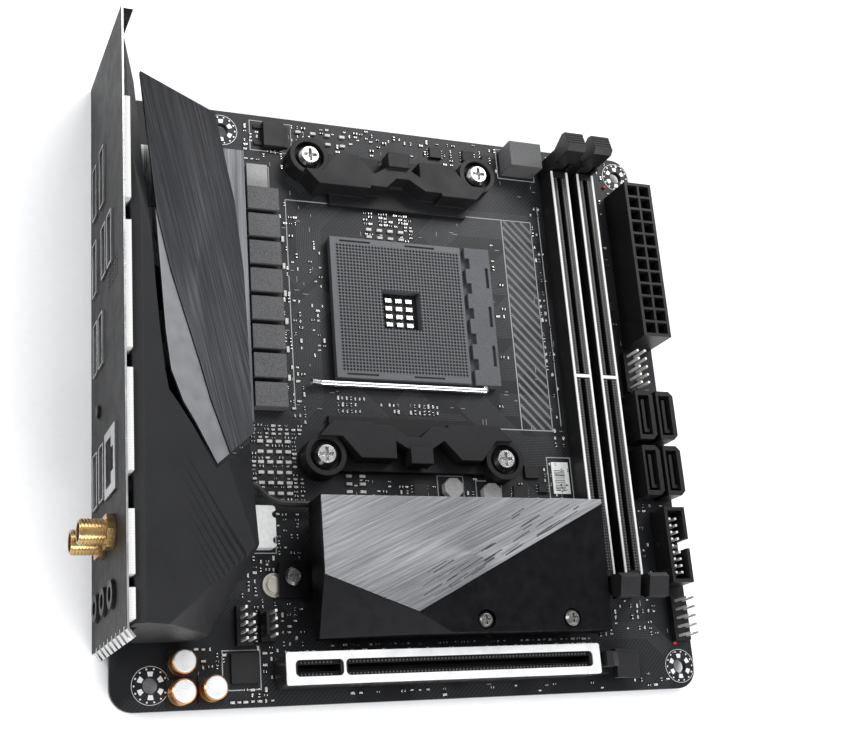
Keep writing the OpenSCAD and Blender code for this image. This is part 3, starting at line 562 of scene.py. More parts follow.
@dataclass(frozen=True)
class Brushed:
    """Brushed metal: fine scratches one way, broad pale streaks and worn edges, with an optional painted shade that
    darkens it along y.
    """

    name: str
    colour: Triple
    turn: float = 0.0
    rough: float = 0.38
    streak: float = 1.2
    scratch: float = 0.14
    band: float = 0.7
    edge: float = 0.15
    metallic: float = 1.0
    # The last field sets a painted shade along y: between its first and second places, in metres, the colours fall
    # to its third times themselves.
    painted_shade: Triple = (0.0, 1.0, 1.0)

    def material(self) -> bpy.types.Material:
        """Lays out the material. A painted shade darkens it along y from the last field's first place to its
        second, by its third.

        Returns:
            The material.
        """
        s = Sheet(self.name)
        fine = s.noise(self.scratch, 2.0, (90, 1, 90), self.turn)
        broad = s.noise(self.band, 4.0, (55, 1, 55), self.turn)
        long = s.noise(7.0, 2.0, (6, 1, 6), self.turn)
        pale = tuple(min(1.0, c * (1 + self.streak)) for c in self.colour)
        deep = tuple(c * 0.62 for c in self.colour)
        share = s.math("MULTIPLY", s.ramp(broad, 0.36, 0.72), s.ramp(fine, 0.30, 0.70, (0.4, 1.0)))
        share = s.math("MULTIPLY", share, s.ramp(long, 0.35, 0.65, (0.55, 1.0)))
        near = s.mix(share, deep, pale)
        # Painted shade: the same brushed colours dimmed and blended in along y.
        shaded = s.mix(share, tuple(c * self.painted_shade[2] for c in deep), tuple(c * self.painted_shade[2] for c in pale))
        s.link(s.mix(s.ramp(s.axis(1), self.painted_shade[0], self.painted_shade[1]), near, shaded), s.shader.inputs["Base Color"])
        s.link(s.ramp(fine, 0.3, 0.7, (self.rough - 0.07, self.rough + 0.12)), s.shader.inputs["Roughness"])
        s.shader.inputs["Metallic"].default_value = self.metallic
        s.shader.inputs["Anisotropic"].default_value = 0.4
        s.bump(fine, 0.012, self.edge)
        return s.material


@dataclass(frozen=True)
class Plated:
    """Plated or blasted metal: an even fine grain with stains and rounded edges."""

    name: str
    colour: Triple
    rough: float = 0.25
    grain: float = 0.3
    depth: float = 0.008
    edge: float = 0.12
    stain: float = 0.25
    metallic: float = 1.0

    def material(self) -> bpy.types.Material:
        """Lays out the material.

        Returns:
            The material.
        """
        s = Sheet(self.name)
        grain = s.noise(self.grain)
        cloud = s.noise(3.5, 4.0)
        deep = tuple(c * (1 - self.stain) for c in self.colour)
        s.link(s.mix(s.ramp(cloud, 0.3, 0.7), deep, self.colour), s.shader.inputs["Base Color"])
        s.link(s.ramp(cloud, 0.3, 0.75, (self.rough - 0.06, self.rough + 0.12)), s.shader.inputs["Roughness"])
        s.shader.inputs["Metallic"].default_value = self.metallic
        s.bump(grain, self.depth, self.edge)
        return s.material


@dataclass(frozen=True)
class SolderMask:
    """Black lacquer over copper: faint pours, a slanted ground mesh and laminate weave."""

    name: str
    pitch: float = 0.9
    turn: float = 45.0

    def material(self) -> bpy.types.Material:
        """Lays out the material. The mesh is a triangle wave across slanted lines, kept to cloudy areas.

        Returns:
            The material.
        """
        s = Sheet(self.name)
        turned_place = s.add("ShaderNodeMapping")
        turned_place.inputs["Rotation"].default_value = (0, 0, math.radians(self.turn))
        s.link(s.place, turned_place.inputs["Vector"])
        parts = s.add("ShaderNodeSeparateXYZ")
        s.link(turned_place.outputs["Vector"], parts.inputs[0])
        wave = s.math("PINGPONG", parts.outputs[0], self.pitch * MM / 2)
        line = s.ramp(wave, 0.00012, 0.00024)
        area = s.ramp(s.noise(26.0, 1.0), 0.49, 0.53)
        share = s.math("MULTIPLY", line, area)
        cloud = s.noise(14.0, 3.0)
        ground = s.mix(s.ramp(cloud, 0.35, 0.65), Tone.MASK.value, tuple(c * 1.7 for c in Tone.MASK.value))
        s.link(s.mix(s.math("MULTIPLY", share, 0.5), ground, Tone.TRACE.value), s.shader.inputs["Base Color"])
        weave = s.noise(0.45, 2.0)
        s.link(s.ramp(weave, 0.3, 0.7, (0.34, 0.44)), s.shader.inputs["Roughness"])
        s.shader.inputs["Specular IOR Level"].default_value = 0.25
        height = s.math("ADD", share, s.math("MULTIPLY", weave, 0.25))
        s.bump(height, 0.02, 0.1)
        return s.material


@dataclass(frozen=True)
class PinField:
    """Socket plastic with a square field of pin holes on its top, whose near-black is painted shade."""

    name: str
    centre: Triple
    pitch: float = 1.0
    half: float = 19.5
    radius: float = 0.37

    def material(self) -> bpy.types.Material:
        """Lays out the material. A hole is where the distance to the nearest grid point is under the radius.

        Returns:
            The material.
        """
        s = Sheet(self.name)
        step = self.pitch * MM
        spans, inside = [], []
        for axis in (0, 1):
            near = s.math("SUBTRACT", s.axis(axis), self.centre[axis])
            shifted = s.math("ADD", near, step * 200.5)
            spans.append(s.math("SUBTRACT", s.math("MODULO", shifted, step), step / 2))
            inside.append(s.math("LESS_THAN", s.math("ABSOLUTE", near), (self.half + 0.2) * MM))
        apart = s.math("SQRT", s.math("ADD", s.math("POWER", spans[0], 2.0), s.math("POWER", spans[1], 2.0)))
        normal = s.add("ShaderNodeNewGeometry")
        up = s.add("ShaderNodeSeparateXYZ")
        s.link(normal.outputs["Normal"], up.inputs[0])
        facing_up = s.math("GREATER_THAN", up.outputs[2], 0.8)
        field_share = s.math("MULTIPLY", s.math("MULTIPLY", inside[0], inside[1]), facing_up)
        hole = s.math("MULTIPLY", s.ramp(apart, (self.radius + 0.05) * MM, (self.radius - 0.05) * MM), field_share)
        grain = s.noise(0.3)
        deep, pale = (tuple(c * share for c in Tone.SOCKET.value) for share in (0.85, 1.15))
        body = s.mix(s.ramp(grain, 0.3, 0.7), deep, pale)
        # The holes are not cut: their near-black colour is painted shade for the hollows, and the bump dents them.
        s.link(s.mix(hole, body, (0.002, 0.002, 0.002)), s.shader.inputs["Base Color"])
        s.link(s.ramp(hole, 0, 1, (0.42, 0.9)), s.shader.inputs["Roughness"])
        s.bump(s.math("SUBTRACT", s.math("MULTIPLY", grain, 0.1), hole), 0.12, 0.15)
        return s.material


@dataclass(frozen=True)
class Layered:
    """Two finishes parted by a plane across one axis of the object."""

    name: str
    axis: int
    edge_at: float
    below: Triple
    above: Triple
    below_metal: float
    above_metal: float
    rough: Pair = (0.45, 0.25)
    gloss: float = 0.4
    foot_at: float = -1.0

    def material(self) -> bpy.types.Material:
        """Lays out the material. Everything under the foot's height is black plastic.

        Returns:
            The material.
        """
        s = Sheet(self.name)
        share = s.ramp(s.axis(self.axis), self.edge_at - 0.00004, self.edge_at + 0.00004)
        grain = s.noise(0.3)
        cloud = s.noise(5.0)
        low = s.mix(s.ramp(cloud, 0.3, 0.7), tuple(c * 0.8 for c in self.below), tuple(c * 1.2 for c in self.below))
        high = s.mix(s.ramp(cloud, 0.3, 0.7), tuple(c * 0.8 for c in self.above), self.above)
        metal = s.ramp(share, 0, 1, (self.below_metal, self.above_metal))
        body = s.mix(share, low, high)
        if self.foot_at > 0:
            over_foot = s.ramp(s.axis(self.axis), self.foot_at - 0.00004, self.foot_at + 0.00004)
            body = s.mix(over_foot, Tone.BLACK.value, body)
            metal = s.math("MULTIPLY", metal, over_foot)
        s.link(body, s.shader.inputs["Base Color"])
        s.link(metal, s.shader.inputs["Metallic"])
        rough = s.math("ADD", s.ramp(share, 0, 1, self.rough), s.ramp(cloud, 0.3, 0.7, (-0.05, 0.06)))
        s.link(rough, s.shader.inputs["Roughness"])
        s.shader.inputs["Specular IOR Level"].default_value = self.gloss
        s.bump(grain, 0.01, 0.12)
        return s.material


@dataclass(frozen=True)
class Cloth:
    """Conductive cloth: a fine two-way weave."""

    name: str
    colour: Triple
    pitch: float = 0.35

    def material(self) -> bpy.types.Material:
        """Lays out the material. The weave is the product of two sine waves across y and z.

        Returns:
            The material.
        """
        s = Sheet(self.name)
        waves = [s.math("SINE", s.math("MULTIPLY", s.axis(a), 2 * math.pi / (self.pitch * MM))) for a in (1, 2)]
        weave = s.ramp(s.math("MULTIPLY", waves[0], waves[1]), -1, 1)
        s.link(s.mix(weave, tuple(c * 0.7 for c in self.colour), self.colour), s.shader.inputs["Base Color"])
        s.link(s.ramp(weave, 0, 1, (0.75, 0.55)), s.shader.inputs["Roughness"])
        s.shader.inputs["Sheen Weight"].default_value = 0.3
        s.bump(weave, 0.04, 0.2)
        return s.material


class Palette:
    """Every finish of the motherboard, made once."""

    def __init__(self, board: Board) -> None:
        """Makes the materials.

        Args:
            board: the board frame, for finishes tied to a place.
        """
        socket_low, socket_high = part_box("socket_capacitors")
        centre = tuple((a + b) / 2 for a, b in zip(socket_low, socket_high))
        shield_low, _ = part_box("io_shield")
        cans_low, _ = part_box("audio_capacitors")
        _, armour_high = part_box("expansion_slot_armour")
        self.mask = SolderMask("board_lacquer").material()
        self.tin = Plated("bright_tin", Tone.TIN.value, 0.22).material()
        self.film = Moulded("insulating_film", (0.03, 0.03, 0.03), 0.35, 0.8).material()
        self.painted = Moulded("painted_steel", (0.02, 0.02, 0.021), 0.4, 0.35, 0.015).material()
        self.black = Moulded("black_moulding", Tone.BLACK.value, 0.42, 0.22, 0.015, 0.22).material()
        self.latch = Moulded("latch_moulding", (0.007, 0.007, 0.0075), 0.42, 0.3, 0.012, 0.3).material()
        self.bracket = Moulded(
            "bracket_moulding", (0.007, 0.007, 0.0078), 0.42, 0.3, 0.015, 0.35, gloss=0.22
        ).material()
        self.charcoal = Moulded("cover_moulding", Tone.CHARCOAL.value, 0.46, 0.28, 0.02, 0.5, 0.18).material()
        self.socket = PinField("socket_pin_field", centre).material()
        self.socket_base = Moulded("socket_moulding", Tone.SOCKET.value, 0.42, 0.3).material()
        # The heatsink plate gets a painted shade: darker towards its far end, where less light falls.
        self.plate = Brushed(
            "brushed_cover_plate", (0.125, 0.126, 0.134), 104.0, 0.34, 1.0, 0.1, 0.5, painted_shade=(0.075, 0.150, 0.32)
        ).material()
        self.storage_plate = Brushed(
            "brushed_storage_plate", (0.36, 0.362, 0.372), 24.0, 0.34, 0.6, 0.1, 0.45
        ).material()
        self.accent = Plated("blasted_accent", (0.30, 0.302, 0.312), 0.48, 0.18, 0.02, 0.2, 0.12).material()
        self.anodised = Plated("anodised_black", (0.016, 0.016, 0.0175), 0.42, 0.2, 0.02, 0.35, 0.2).material()
        self.fins = Brushed("extruded_fins", (0.14, 0.142, 0.15), 90.0, 0.4, 0.8).material()
        self.pad = Moulded("soft_pad", (0.25, 0.28, 0.32), 0.8, 0.6, 0.05).material()
        self.resin = Moulded("chip_resin", Tone.RESIN.value, 0.5, 0.15, 0.02, 0.1).material()
        self.ferrite = Moulded("pressed_ferrite", (0.085, 0.085, 0.086), 0.55, 0.3, 0.05, 0.3, 0.45).material()
        self.pale_ferrite = Moulded("cast_ferrite", (0.30, 0.30, 0.29), 0.5, 0.3, 0.03, 0.3, 0.2).material()
        self.cans = Layered(
            "capacitor_can", 2, cans_low[2] + 0.00591, (0.74, 0.36, 0.13), (0.92, 0.92, 0.91),
            0.9, 0.35, (0.28, 0.3), foot_at=cans_low[2] + 0.0009,
        ).material()
        self.shield = Layered(
            "shield_paint", 0, shield_low[0] + 0.00012, (0.005, 0.005, 0.0053), (0.62, 0.62, 0.61),
            0.0, 1.0, (0.5, 0.26), 0.16,
        ).material()
        self.gasket = Cloth("gasket_cloth", Tone.WHITE.value).material()
        self.steel = Brushed("shell_steel", (0.58, 0.58, 0.58), 90.0, 0.28, 0.35, 0.2).material()
        self.pin = Plated("bright_pin", (0.88, 0.87, 0.84), 0.3, 0.3, 0.004, 0.06, 0.1, 0.5).material()
        self.screw = Plated("nickel_screw", (0.62, 0.61, 0.59), 0.2, 0.4, 0.01, 0.2).material()
        self.dark_screw = Plated("dark_screw", (0.26, 0.25, 0.24), 0.26, 0.4, 0.01, 0.2).material()
        self.lever = Plated("lever_wire", (0.72, 0.72, 0.71), 0.18, 0.5, 0.004, 0.1).material()
        self.gold = Plated("gold_plating", Tone.GOLD.value, 0.24, 0.3, 0.006, 0.1, 0.25).material()
        self.rail = Moulded("pale_rail", (0.66, 0.66, 0.65), 0.4, 0.3, 0.01, 0.12, 0.08).material()
        self.armour = Layered(
            "formed_armour", 2, armour_high[2] - 0.0005, (0.06, 0.06, 0.062), (0.88, 0.88, 0.87),
            0.9, 0.4, (0.3, 0.36),
        ).material()
        self.sleeve = Moulded("battery_sleeve", (0.66, 0.66, 0.65), 0.35, 1.2, 0.05, 0.5, 0.06).material()
        self.lead = Moulded("lead_jacket", (0.012, 0.012, 0.012), 0.4, 0.6, 0.02, 0.0).material()
        self.ceramic = Moulded("fired_ceramic", (0.55, 0.53, 0.50), 0.35, 0.3, 0.01, 0.08, 0.2).material()
        self.ink = Moulded("white_ink", Tone.INK.value, 0.6, 0.12, 0.01, 0.0, 0.12).material()
        self.hatch = Moulded("grey_ink", Tone.HATCH.value, 0.6, 0.12, 0.01, 0.0, 0.12).material()
        self.copper = Moulded("lacquered_trace", Tone.TRACE.value, 0.36, 0.5, 0.01, 0.0, 0.3).material()
        self.dash = Moulded("grey_dash", (0.06, 0.061, 0.064), 0.4, 0.2, 0.004, 0.0, 0.2).material()
        self.petal = Plated("tinned_petal", (0.82, 0.82, 0.81), 0.4, 0.3, 0.004, 0.0, 0.1, 0.4).material()
        self.contact = Plated("contact_spring", (0.17, 0.168, 0.16), 0.35, 0.3, 0.004, 0.05, 0.2, 0.6).material()
        self.standoff = Plated("turned_standoff", (0.66, 0.62, 0.54), 0.3, 0.3, 0.006, 0.2, 0.2, 0.8).material()
        self.indicator = Moulded("indicator_lens", (0.5, 0.02, 0.02), 0.25, 0.4, 0.0, 0.05).material()
        self.label = Moulded("paper_label", (0.74, 0.74, 0.73), 0.7, 0.2, 0.01, 0.0, 0.05).material()

    def dress(self, table: dict[str, bpy.types.Material]) -> None:
        """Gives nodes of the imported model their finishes.

        Args:
            table: node name to material.
        """
        for name, finish in table.items():
            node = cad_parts[name]
            if not node.data.materials:
                node.data.materials.append(finish)
            for slot in node.material_slots:
                slot.material = finish
        missing = sorted(set(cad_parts) - set(table))
        LOG.info("dressed %d nodes, without a finish: %s", len(table), missing)


# ---------- printed board ----------


@dataclass
class PrintedBoard:
    """Ink, traces and pads on the bare board.

    Attributes:
        ink_width: width of a printed line.
        ink_rise: thickness of the ink.
        ring: outer radius of the pads round a case hole.
    """

    ink_width: float = 0.28
    ink_rise: float = 0.03
    ring: float = 4.7

    def lines(self, board: Board, paths: list[list[Pair]], width: float = 0.0) -> Shell:
        """Printed lines along open paths.

        Args:
            board: the board frame.
            paths: the open paths.
            width: line width, or 0 for the usual one.

        Returns:
            The printed shell.
        """
        w = width or self.ink_width
        return joined([ribbons(p, np.zeros(1), w, board.top - 0.01, board.top + self.ink_rise) for p in paths])

    def ink(self, board: Board, finish: bpy.types.Material, hatch_finish: bpy.types.Material) -> bpy.types.Object:
        """The frame round the socket, its hatched band and part outlines.

        Args:
            board: the board frame.
            finish: the ink.
            hatch_finish: the greyer ink of the band.

        Returns:
            The printed piece.
        """
        paths: list[list[Pair]] = [
            [(51.5, 143.6), (121.4, 144.2), (131.6, 144.3), (131.6, 76.4), (113.2, 76.4)],
            [(121.4, 144.2), (121.4, 76.4)],
            [(134.6, 150), (134.6, 78)],
            [(51.5, 143.6), (51.5, 121.5)],
            [(51.5, 119.5), (51.5, 80.0)],
            [(152.8, 157), (152.8, 30)],
            [(39.0, 146), (39.0, 153.3), (46.8, 153.3), (46.8, 146), (39.0, 146)],
            [(28.6, 6), (30.2, 4.4), (38.6, 4.4), (38.6, 14.4), (28.6, 14.4), (28.6, 6)],
            [(44.4, 158.6), (54.2, 158.6), (54.2, 168.2), (41.6, 168.2), (41.6, 158.6), (44.4, 158.6)],
            [(121.9, 158.7), (134.7, 158.7), (134.7, 168.8), (121.9, 168.8), (121.9, 158.7)],
            [(92.6, 54), (100.6, 54), (100.6, 61.8), (92.6, 61.8), (92.6, 54)],
            [(104.6, 52.6), (112.6, 52.6), (112.6, 60.6), (104.6, 60.6), (104.6, 52.6)],
            [(22.6, 39.6), (44.2, 39.6), (44.2, 46)],
            [(128.4, 55.8), (136.2, 55.8), (136.2, 68.2), (128.4, 68.2), (128.4, 55.8)],
        ]
        hatch = [[(121.6, y + 10.6), (131.4, y)] for y in np.arange(77.0, 133.4, 3.2)]
        hatch += [[(121.6, 76.6 + 10.6 * (1 - k / 9.8)), (131.4 - k, 76.6)] for k in (2.6, 5.5)]
        hatch += [[(121.6 + k, 144.0), (131.4, 144.0 - 10.6 * (1 - k / 9.8))] for k in (0.6, 3.5, 6.5)]
        rng = np.random.default_rng(11)
        ticks = []
        for x, y in rng.uniform((14, 3), (167, 167), (420, 2)):
            long, way = rng.uniform(0.7, 1.8), rng.integers(0, 2)
            dx, dy = (long, 0.0) if way else (0.0, long)
            if board.take(x + dx / 2, y + dy / 2, dx + 0.3, dy + 0.3):
                ticks.append([(x, y), (x + dx, y + dy)])
        place("hatched_band", self.lines(board, hatch, 0.85), board, hatch_finish)
        shells = [self.lines(board, paths), self.lines(board, ticks, 0.14)]
        return place("board_ink", joined(shells), board, finish)

    def hole_pads(self, board: Board, finish: bpy.types.Material) -> bpy.types.Object:
        """Tinned pads in a star round each case hole.

        Args:
            board: the board frame.
            finish: the tin.

        Returns:
            The pads.
        """
        z0, z1 = board.top - 0.02, board.top + 0.05

        def band(inner: float, outer: float) -> list[Pair]:
            """A thin ring's section.

            Args:
                inner: inner radius.
                outer: outer radius.

            Returns:
                Radius and height pairs.
            """
            return [(inner, z0), (outer, z0), (outer, z1), (inner, z1)]

        shells = []
        for x, y in CASE_HOLES:
            for k in range(6):
                shells.append(turned(band(2.3, 3.5), (x, y, 0), 4, 60 * k + 17, 26))
            for k in range(14):
                a = 2 * math.pi * k / 14
                dot = (x + 4.15 * math.cos(a), y + 4.15 * math.sin(a), 0)
                shells.append(turned(band(0.05, 0.24), dot, 8))
            shells.append(turned(band(self.ring, self.ring + 0.1), (x, y, 0), 48))
        return place("hole_pads", joined(shells), board, finish)

    def traces(self, board: Board, finish: bpy.types.Material) -> bpy.types.Object:
        """Bundles of parallel traces between the socket, the memory and the rear.

        Args:
            board: the board frame.
            finish: lacquered copper.

        Returns:
            The traces.
        """
        z0, z1 = board.top - 0.01, board.top + 0.02
        bundles = [
            ([(52, 118), (58, 124), (58, 137), (70, 149), (90, 149)], 14, 0.55),
            ([(50.5, 78), (56, 84), (56, 108), (63, 115)], 16, 0.5),
            ([(66, 86), (76, 76), (76, 66)], 16, 0.55),
            ([(84, 86), (94, 76), (100, 76), (106, 70)], 16, 0.55),
            ([(104, 86), (112, 78), (120, 70), (134, 70)], 18, 0.5),
            ([(115, 84), (120, 84), (134, 84)], 14, 0.5),
            ([(115, 96), (120, 96), (124, 100), (134, 100)], 18, 0.5),
            ([(115, 110), (119, 110), (125, 116), (134, 116)], 20, 0.5),
            ([(115, 124), (119, 124), (125, 130), (134, 130)], 20, 0.5),
            ([(96, 134), (104, 142), (116, 142), (134, 142)], 18, 0.5),
            ([(100, 66), (112, 66), (124, 54), (134, 54)], 10, 0.5),
            ([(152.5, 96), (156, 99.5), (156, 110)], 6, 0.5),
            ([(20, 20), (30, 30), (44, 30), (50, 24)], 10, 0.5),
            ([(133, 10), (140, 17), (156, 17), (162, 11)], 10, 0.5),
            ([(54, 148), (60, 154), (78, 154)], 10, 0.6),
        ]
        shells = [ribbons(p, (np.arange(n) - (n - 1) / 2) * d, 0.2, z0, z1) for p, n, d in bundles]
        return place("traces", joined(shells), board, finish)


CASE_HOLES: list[Pair] = [(10.16, 6.35), (165.1, 6.35), (165.1, 163.83), (33.02, 163.83)]


# ---------- surface parts ----------


@dataclass
class Patch:
    """One area of the board that is filled with small parts.

    Attributes:
        low: lowest corner.
        high: highest corner.
        pitch: distance between parts along x and y.
        fill: share of places that get a part.
        lay: which way the parts lie.
        size: length, width and height of a part.
    """

    low: Pair
    high: Pair
    pitch: Pair
    fill: float
    lay: Lay = Lay.ANY
    size: Triple = (1.0, 0.5, 0.4)


PATCHES: list[Patch] = [
    Patch((39.0, 53.0), (52.5, 76.0), (1.9, 1.15), 0.85, Lay.ALONG_X),
    Patch((33.5, 54.0), (39.0, 75.0), (2.0, 1.6), 0.5, Lay.ALONG_X),
    Patch((76.0, 132.6), (92.0, 142.4), (1.6, 1.15), 0.85, Lay.ALONG_X),
    Patch((76.0, 145.0), (90.0, 151.0), (1.8, 1.5), 0.4, Lay.ALONG_Y),
    Patch((49.6, 76.0), (55.0, 145.0), (1.5, 2.0), 0.42),
    Patch((64.0, 76.0), (72.0, 84.5), (1.3, 1.9), 0.75, Lay.ALONG_Y),
    Patch((77.0, 74.5), (83.0, 84.0), (1.3, 1.9), 0.7, Lay.ALONG_Y),
    Patch((86.0, 74.5), (95.0, 84.0), (1.4, 1.9), 0.6, Lay.ALONG_Y),
    Patch((58.0, 96.0), (62.0, 132.0), (1.5, 1.5), 0.3),
    Patch((115.0, 78.0), (121.0, 142.0), (2.0, 2.6), 0.22),
    Patch((132.0, 72.0), (135.4, 150.0), (1.4, 2.2), 0.4, Lay.ALONG_Y),
    Patch((40.0, 154.0), (62.0, 169.0), (1.8, 1.5), 0.5),
    Patch((62.0, 166.6), (122.0, 169.2), (1.8, 1.2), 0.5),
    Patch((62.0, 161.0), (122.0, 167.0), (2.2, 1.6), 0.35),
    Patch((93.0, 61.0), (135.0, 69.0), (1.9, 1.7), 0.32),
    Patch((66.0, 52.4), (135.0, 60.6), (1.7, 1.5), 0.42),
    Patch((20.0, 1.4), (42.0, 38.0), (1.8, 1.5), 0.5),
    Patch((36.0, 12.6), (52.0, 58.0), (1.8, 1.5), 0.5),
    Patch((44.0, 1.0), (136.0, 3.6), (2.4, 1.6), 0.35, Lay.ALONG_X),
    Patch((44.0, 12.2), (136.0, 15.0), (1.8, 1.4), 0.55, Lay.ALONG_X),
    Patch((132.0, 16.0), (160.0, 30.0), (1.9, 1.6), 0.42),
    Patch((134.0, 1.2), (163.0, 6.0), (2.2, 1.6), 0.35),
    Patch((152.6, 20.0), (160.8, 100.0), (1.7, 1.7), 0.4),
    Patch((152.6, 100.0), (159.4, 158.0), (1.7, 2.0), 0.4),
    Patch((136.0, 163.0), (160.0, 169.4), (2.0, 1.6), 0.4),
    Patch((153.0, 156.0), (168.8, 168.8), (2.1, 1.7), 0.3),
    Patch((158.0, 54.0), (169.4, 57.0), (1.9, 1.5), 0.4),
]


@dataclass
class SurfaceParts:
    """The hundreds of small soldered parts.

    Attributes:
        seed: start of the random choices.
        cap: share of a part's length that each tinned end takes.
    """

    seed: int = 7
    cap: float = 0.27

    def scatter(self, board: Board) -> tuple[np.ndarray, np.ndarray, np.ndarray]:
        """Chooses free places.

        Args:
            board: the board frame, whose map of used places fills up.

        Returns:
            Foot centres, sizes and plan angles.
        """
        rng = np.random.default_rng(self.seed)
        centres, sizes, turns = [], [], []
        for patch in PATCHES:
            xs = np.arange(patch.low[0], patch.high[0], patch.pitch[0])
            ys = np.arange(patch.low[1], patch.high[1], patch.pitch[1])
            for x in xs:
                for y in ys:
                    if rng.random() > patch.fill:
                        continue
                    turn = patch.lay.value if patch.lay is not Lay.ANY else float(rng.choice([0.0, 90.0]))
                    scale = float(rng.choice([0.85, 1.0, 1.25]))
                    long, wide = patch.size[0] * scale, patch.size[1] * scale
                    dx, dy = (long, wide) if turn == 0 else (wide, long)
                    px, py = x + rng.uniform(-0.1, 0.1), y + rng.uniform(-0.1, 0.1)
                    if board.take(px, py, dx + 0.3, dy + 0.3):
                        centres.append((px, py, board.top))
                        sizes.append((long, wide, patch.size[2] * scale))
                        turns.append(turn)
        return np.array(centres), np.array(sizes), np.array(turns)

    def build(self, board: Board, palette: Palette) -> None:
        """Makes bodies and tinned ends.

        Args:
            board: the board frame.
            palette: the finishes.
        """
        centre, size, turn = self.scatter(board)
        kind = np.random.default_rng(self.seed + 1).random(len(centre))
        body = size * np.array([1 - 2 * self.cap + 0.04, 0.94, 1.0])
        for name, chosen, finish, slot in (
            ("chip_resistors", kind < 0.45, palette.resin, "chip_resin"),
            ("chip_capacitors", kind >= 0.45, palette.ceramic, "ceramic"),
        ):
            place(name, chamfered_blocks(centre[chosen], body[chosen], turn[chosen], 0.05), board, finish)
        a = np.radians(turn)
        reach = size[:, 0] * (0.5 - self.cap / 2)
        ends = []
        for sign in (-1, 1):
            spot = centre + np.stack([np.cos(a) * reach * sign, np.sin(a) * reach * sign, np.zeros(len(a))], 1)
            tip = size * np.array([self.cap, 1.0, 1.02])
            ends.append(chamfered_blocks(spot, tip, turn, 0.06))
        place("chip_terminals", joined(ends), board, palette.tin)


@dataclass
class LeadedChips:
    """Black chips with rows of bent tin legs.

    Attributes:
        spots: centre, width, depth, height and legs on a side, of each chip.
    """

    spots: list[tuple[float, float, float, float, float, int]] = field(
        default_factory=lambda: [
            (48.0, 77.6, 3.2, 2.6, 0.8, 3),
            (156.2, 118.0, 3.0, 3.0, 0.8, 4),
            (156.2, 146.0, 3.0, 3.0, 0.8, 4),
            (100.6, 164.4, 4.0, 3.4, 1.0, 4),
            (111.8, 164.6, 4.0, 3.4, 1.0, 4),
            (117.8, 164.4, 2.6, 2.6, 0.8, 3),
            (66.0, 164.2, 3.6, 3.2, 1.0, 4),
            (72.6, 164.6, 3.0, 2.6, 0.8, 3),
            (118.4, 57.0, 4.6, 4.0, 1.0, 5),
            (87.0, 57.4, 4.0, 3.6, 1.0, 4),
            (126.0, 58.6, 3.0, 2.6, 0.8, 3),
            (143.0, 24.0, 4.0, 3.6, 1.0, 4),
            (151.0, 10.0, 4.6, 4.0, 1.0, 5),
            (47.4, 9.6, 4.0, 4.6, 1.0, 5),
            (156.6, 60.0, 3.0, 4.0, 0.8, 4),
            (156.4, 84.0, 3.0, 3.6, 0.8, 4),
            (52.0, 53.6, 2.6, 3.0, 0.8, 3),
        ]
    )

    def build(self, board: Board, palette: Palette) -> None:
        """Makes the chips where their places are free.

        Args:
            board: the board frame.
            palette: the finishes.
        """
        bodies, legs = [], []
        for x, y, w, d, h, count in self.spots:
            if not board.take(x, y, w + 1.6, d + 0.4):
                LOG.info("no room for a chip at %.1f %.1f", x, y)
                continue
            bodies.append(((x, y, board.top + 0.08), (w, d, h)))
            for k in range(count):
                yk = y + (k - (count - 1) / 2) * d / count
                legs += [((x + s * (w / 2 + 0.25), yk, board.top), (0.7, 0.28, 0.3)) for s in (-1, 1)]
        b, g = np.array([p[0] for p in bodies]), np.array([p[0] for p in legs])
        chips = chamfered_blocks(b, np.array([p[1] for p in bodies]), np.zeros(len(b)), 0.12)
        place("leaded_chips", chips, board, palette.resin)
        feet = chamfered_blocks(g, np.array([p[1] for p in legs]), np.zeros(len(g)), 0.08)
        place("chip_legs", feet, board, palette.tin)


# ---------- slots ----------


@dataclass
class SlotContacts:
    """Rows of sprung contacts beside the slots' grooves.

    Attributes:
        memory_pitch: distance between memory contacts.
        half_slot: from a slot's outer rail edge to its middle.
        card_pitch: distance between expansion contacts.
    """

    memory_pitch: float = 0.85
    card_pitch: float = 1.0
    half_slot: float = 2.92

    def build(self, board: Board, palette: Palette) -> None:
        """Makes the contact rows from the slots' own boxes.

        Args:
            board: the board frame.
            palette: the finishes.
        """
        rail_low, rail_high = (board.local(np.array(c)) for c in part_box("memory_slot_rails"))
        first, second = rail_low[0] + self.half_slot, rail_high[0] - self.half_slot
        ys = np.arange(rail_low[1] + 2.0, rail_high[1] - 2.0, self.memory_pitch)
        ys = ys[np.abs(ys - 91.6) > 1.2]
        top = board.top + 7.8
        rows = (-1.15, 1.15, -1.95, 1.95)
        spot = np.array([(x + row, y, top - 0.02) for x in (first, second) for row in rows for y in ys])
        size = np.tile([0.42, 0.36, 0.12], (len(spot), 1))
        springs = chamfered_blocks(spot, size, np.zeros(len(spot)), 0.04)
        place("memory_contacts", springs, board, palette.contact)
        low, high = (board.local(np.array(c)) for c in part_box("expansion_slot"))
        middle = (low[1] + high[1]) / 2
        xs = np.arange(low[0] + 2.6, low[0] + 86.0, self.card_pitch)
        xs = xs[np.abs(xs - low[0] - 13.6) > 1.6]
        spot = np.array([(x, middle + s * 1.5, board.top + 9.84) for s in (-1, 1) for x in xs])
        size = np.tile([0.45, 0.5, 0.12], (len(spot), 1))
        springs = chamfered_blocks(spot, size, np.zeros(len(spot)), 0.04)
        place("card_contacts", springs, board, palette.contact)


# ---------- printed trim ----------


